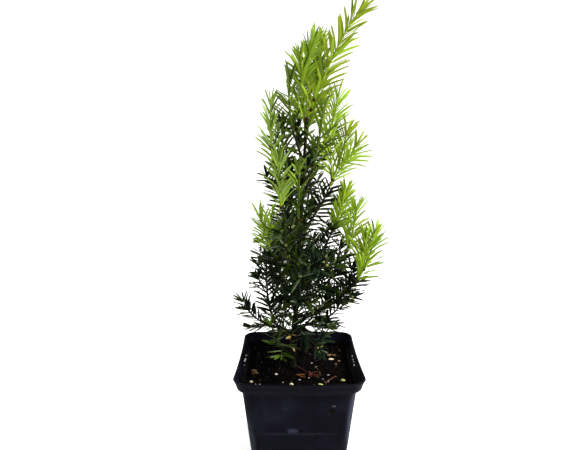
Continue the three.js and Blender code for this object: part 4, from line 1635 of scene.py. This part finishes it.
# The kind of each crumb, how many there are for each square metre, the smallest and the largest in
# millimetres, how flat it is, how finely its ball is cut and how uneven it is in millimetres.
CRUMBS = {
    "mix_fine_crumbs": ("dark_crumb", 650000, 0.25, 0.8, 0.7, 1, 0.5),
    "mix_lumps": ("dark_crumb", 60000, 0.8, 1.9, 0.65, 2, 1.2),
    "mix_brown_crumbs": ("brown_crumb", 60000, 0.25, 0.8, 0.5, 1, 0.5),
    "mix_bark_chips": ("bark_chip", 5000, 0.7, 1.5, 0.3, 2, 0.7),
    "mix_grit": ("pale_grit", 7000, 0.18, 0.5, 0.7, 1, 0.3),
}
for seed, (name, row) in enumerate(CRUMBS.items(), start=3):
    kind, density, smallest, largest, flatness, facets, unevenness = row
    mesh = crumb_tree.run(
        bed.data.copy(), Density=float(density), Smallest=smallest * MM, Largest=largest * MM,
        Flatness=flatness, Facets=facets, Unevenness=unevenness * MM, Seed=seed,
        Material=crumb_finishes[kind],
    )
    add_piece(name, mesh, "potting_mix", smooth=facets > 1)

# %% [markdown]
# The photo shows each pale grain, and some fallen needles that have turned orange. These few are set
# one by one: a line from the lens through the pixel is followed to the level of the mix, and the piece
# lies on the bed there.

# %% Pale grains
# The pixel of each grain, its width and length in pixels, and its kind.
GRAINS = [
    (276.3, 374.2, 2.2, 3.2, "white"), (251.3, 381.7, 3.0, 3.6, "cream"),
    (250.8, 385.4, 2.2, 2.4, "cream"), (255.6, 384.3, 1.2, 1.3, "white"),
    (259.8, 384.3, 1.0, 1.0, "white"), (281.7, 386.0, 1.6, 2.0, "grey"),
    (283.0, 382.5, 1.4, 1.6, "grey"), (291.7, 384.2, 3.0, 4.2, "cream"),
    (299.6, 379.8, 1.7, 2.2, "grey"), (308.8, 378.0, 1.3, 1.4, "white"),
    (312.0, 363.3, 1.4, 1.4, "white"), (316.3, 367.0, 2.2, 3.2, "olive"),
    (331.3, 359.2, 2.6, 5.4, "cream"), (329.5, 355.0, 2.4, 5.0, "tan"),
    (334.0, 355.2, 2.2, 4.0, "tan"), (336.3, 364.2, 2.4, 3.2, "tan"),
    (339.0, 361.0, 2.2, 3.0, "tan"), (328.3, 375.0, 1.4, 2.6, "grey"),
    (323.0, 379.2, 1.3, 1.5, "grey"), (321.0, 384.6, 2.4, 5.6, "yellow"),
    (343.3, 380.4, 3.2, 5.0, "yellow"), (254.3, 370.6, 3.4, 6.0, "tan"),
    (256.6, 373.0, 3.0, 5.0, "tan"), (253.2, 373.6, 2.4, 3.4, "brown"),
    (335.4, 376.7, 1.8, 2.6, "brown"), (328.4, 381.4, 1.3, 1.5, "grey"),
]
# Specks of white grit that cling to the pot inside its rim, and that also stand for glints of light on
# its ledge, a painted highlight: their pixel and their size in millimetres.
RIM_GRIT_AND_GLINTS = [
    (244.9, 359.4, 2.0), (244.4, 361.2, 1.6), (245.8, 355.6, 1.4), (244.2, 365, 0.9),
    (352.6, 356.3, 1.4), (353.1, 359.7, 1.2), (354.1, 361.9, 1.0), (354.5, 365.2, 1.5),
]
# How high a grain's and a fallen needle's middle lie above the bed.
GRAIN_ABOVE, NEEDLE_ABOVE = 0.45, 1.0
GRAIN_COLORS = {
    "white": (0.55, 0.54, 0.52), "grey": (0.2, 0.2, 0.2), "cream": (0.45, 0.4, 0.25),
    "yellow": (0.27, 0.28, 0.08), "olive": (0.09, 0.08, 0.05), "tan": (0.11, 0.07, 0.035),
    "brown": (0.07, 0.022, 0.012),
}


def on_bed(px, py, above):
    """The place on the mix that is drawn at a pixel."""
    way = ray_at(px, py)
    start = camera.location / MM
    level = SOIL_TOP
    for _ in range(6):
        point = start + way * ((level - start.z) / way.z)
        level = bed_height(point.x, point.y) + above
    return point


roll = shaken(SEED * 803)
grains = {kind: [] for kind in GRAIN_COLORS}
seen = bpy.context.evaluated_depsgraph_get()
# Specks on the rim's ledge: white grit that also stands for a painted glint of light.
for px, py, size in RIM_GRIT_AND_GLINTS:
    _, place, normal, _ = pot.ray_cast(camera.location, ray_at(px, py), depsgraph=seen)
    root = place / MM - normal * (0.4 * size)
    speck = dict(root=root, heading=normal, upper=normal.orthogonal(), bend=UP * 0)
    grains["white"].append(dict(speck, length=size, width=size, depth=size))
for px, py, width, length, kind in GRAINS:
    middle = on_bed(px, py, GRAIN_ABOVE)
    a_pixel = drawn_at(middle).z / FOCAL_PIXELS
    width, length = width * a_pixel, length * a_pixel
    heading = turned(Vector((1, 0, 0)), Vector((0, 1, 0)), 60 * (roll() - 0.5))
    grain = dict(root=middle - heading * (length / 2), heading=heading, upper=UP, bend=UP * 0)
    grains[kind].append(dict(grain, length=length, width=width, depth=width * 0.75))
for kind, placements in grains.items():
    material = grained("grain_" + kind, GRAIN_COLORS[kind], 0.8, 0.1, 1600, 0.6, 0.0003, detail=4)
    add_copies("mix_grains_" + kind, round_tree, placements, material, "potting_mix")

# %% Fallen needles
# Where each fallen needle's two ends are drawn, its width in millimetres and how far it bows.
FALLEN = {
    "orange": [(296.5, 374.9, 305.5, 374.2, 1.9, 0.4), (300, 376.4, 306, 376.8, 0.7, 0.3)],
    "red": [(309.2, 370.8, 311.6, 377.2, 1.1, 0.5), (308.6, 375.6, 312.6, 372.6, 0.7, 0.3)],
    "dull": [
        (311.0, 375.0, 322.0, 374.4, 1.9, 0.8), (311.0, 373.0, 321.5, 371.0, 1.5, -0.8),
        (304.0, 372.6, 310.5, 374.2, 0.9, -0.4), (313.0, 376.6, 319.5, 375.9, 1.0, 0.4),
    ],
    "pink": [
        (296.3, 365.8, 309.8, 371.6, 0.55, 2.4), (323.8, 380.5, 326.6, 384.6, 0.6, 0.3),
        (325.5, 383.0, 329.5, 379.0, 0.5, 0.5), (328.5, 380.2, 335.5, 376.9, 0.5, -0.5),
    ],
}
FALLEN_COLORS = {
    "orange": (0.08, 0.028, 0.006), "red": (0.075, 0.014, 0.006), "dull": (0.022, 0.0055, 0.0025),
    "pink": (0.08, 0.035, 0.025),
}
for kind, rows in FALLEN.items():
    fallen = []
    for ax, ay, bx, by, width, bow in rows:
        a, b = on_bed(ax, ay, NEEDLE_ABOVE), on_bed(bx, by, NEEDLE_ABOVE)
        sideways = (b - a).cross(UP).normalized()
        fallen.append(needle_between(a, b, width, UP, sideways * bow))
    material = grained("fallen_needle_" + kind, FALLEN_COLORS[kind], 0.6, 0.04, 900)
    name = "mix_fallen_needles_" + kind
    add_copies(name, needle_tree, fallen, material, "potting_mix", stations=8, thickness=0.4)

# %% [markdown]
# ## Studio
#
# The photo's background is plain white. A wide floor whose edge curves up into a wall all round gives
# that from every side, with no line where floor and wall meet. One large lamp from the right and above
# gives the light side of the plant, a weaker one from the left keeps the dark side readable.

# %% Studio
paper = finish("studio_paper", (0.6, 0.6, 0.6), 0.9, Specular_IOR_Level=0.0, Emission_Strength=0.45)
color_by(paper, pattern(paper, 3), (0, (0.59, 0.59, 0.59)), (1, (0.61, 0.61, 0.61)))
paper.node_tree.nodes["Principled BSDF"].inputs["Emission Color"].default_value = (1, 1, 1, 1)
# The floor is flat as far as its edge, and bends up into the wall, all in metres.
FLOOR_EDGE, BEND, WALL_TOP = 1.4, 0.6, 2.2
bend_angles = np.linspace(0.1, math.pi / 2, 12)
profile = [(0.001, 0.0), (0.5, 0.0), (1.0, 0.0), (FLOOR_EDGE, 0.0)]
profile += [(FLOOR_EDGE + BEND * math.sin(a), BEND - BEND * math.cos(a)) for a in bend_angles]
profile += [(FLOOR_EDGE + BEND, 2 * BEND), (FLOOR_EDGE + BEND, WALL_TOP)]
turns = np.linspace(0, 2 * math.pi, 96, endpoint=False)
points = [(r * math.cos(a), r * math.sin(a), z) for r, z in profile for a in turns]
count = len(turns)
faces = [
    (low + i, low + (i + 1) % count, low + count + (i + 1) % count, low + count + i)
    for low in range(0, (len(profile) - 1) * count, count)
    for i in range(count)
]
paper_mesh = bpy.data.meshes.new("studio")
paper_mesh.from_pydata(points, [], faces)
paper_mesh.materials.append(paper)
paper_mesh.polygons.foreach_set("use_smooth", [True] * len(faces))
studio = new_object("studio", paper_mesh)


MIDDLE = Vector((0, 0, 0.2))


def soft_lamp(name, place, size, watts, color):
    """A square lamp that faces the middle of the plant."""
    lamp = bpy.data.lights.new(name, "AREA")
    lamp.size, lamp.energy, lamp.color = size, watts, color
    holder = new_object(name, lamp)
    holder.location = place
    holder.rotation_euler = (MIDDLE - Vector(place)).to_track_quat("-Z", "Y").to_euler()


soft_lamp("key", (1.05, -0.3, 1.05), 0.4, 60, (1, 0.98, 0.93))
soft_lamp("fill", (-1.0, -0.9, 0.6), 0.8, 4, (0.92, 0.96, 1))
world = bpy.data.worlds.new("sky")
world.use_nodes = True
world.node_tree.nodes["Background"].inputs["Color"].default_value = (1, 1, 1, 1)
world.node_tree.nodes["Background"].inputs["Strength"].default_value = 0.8
bpy.context.scene.world = world
bpy.context.scene.view_settings.view_transform = "Standard"
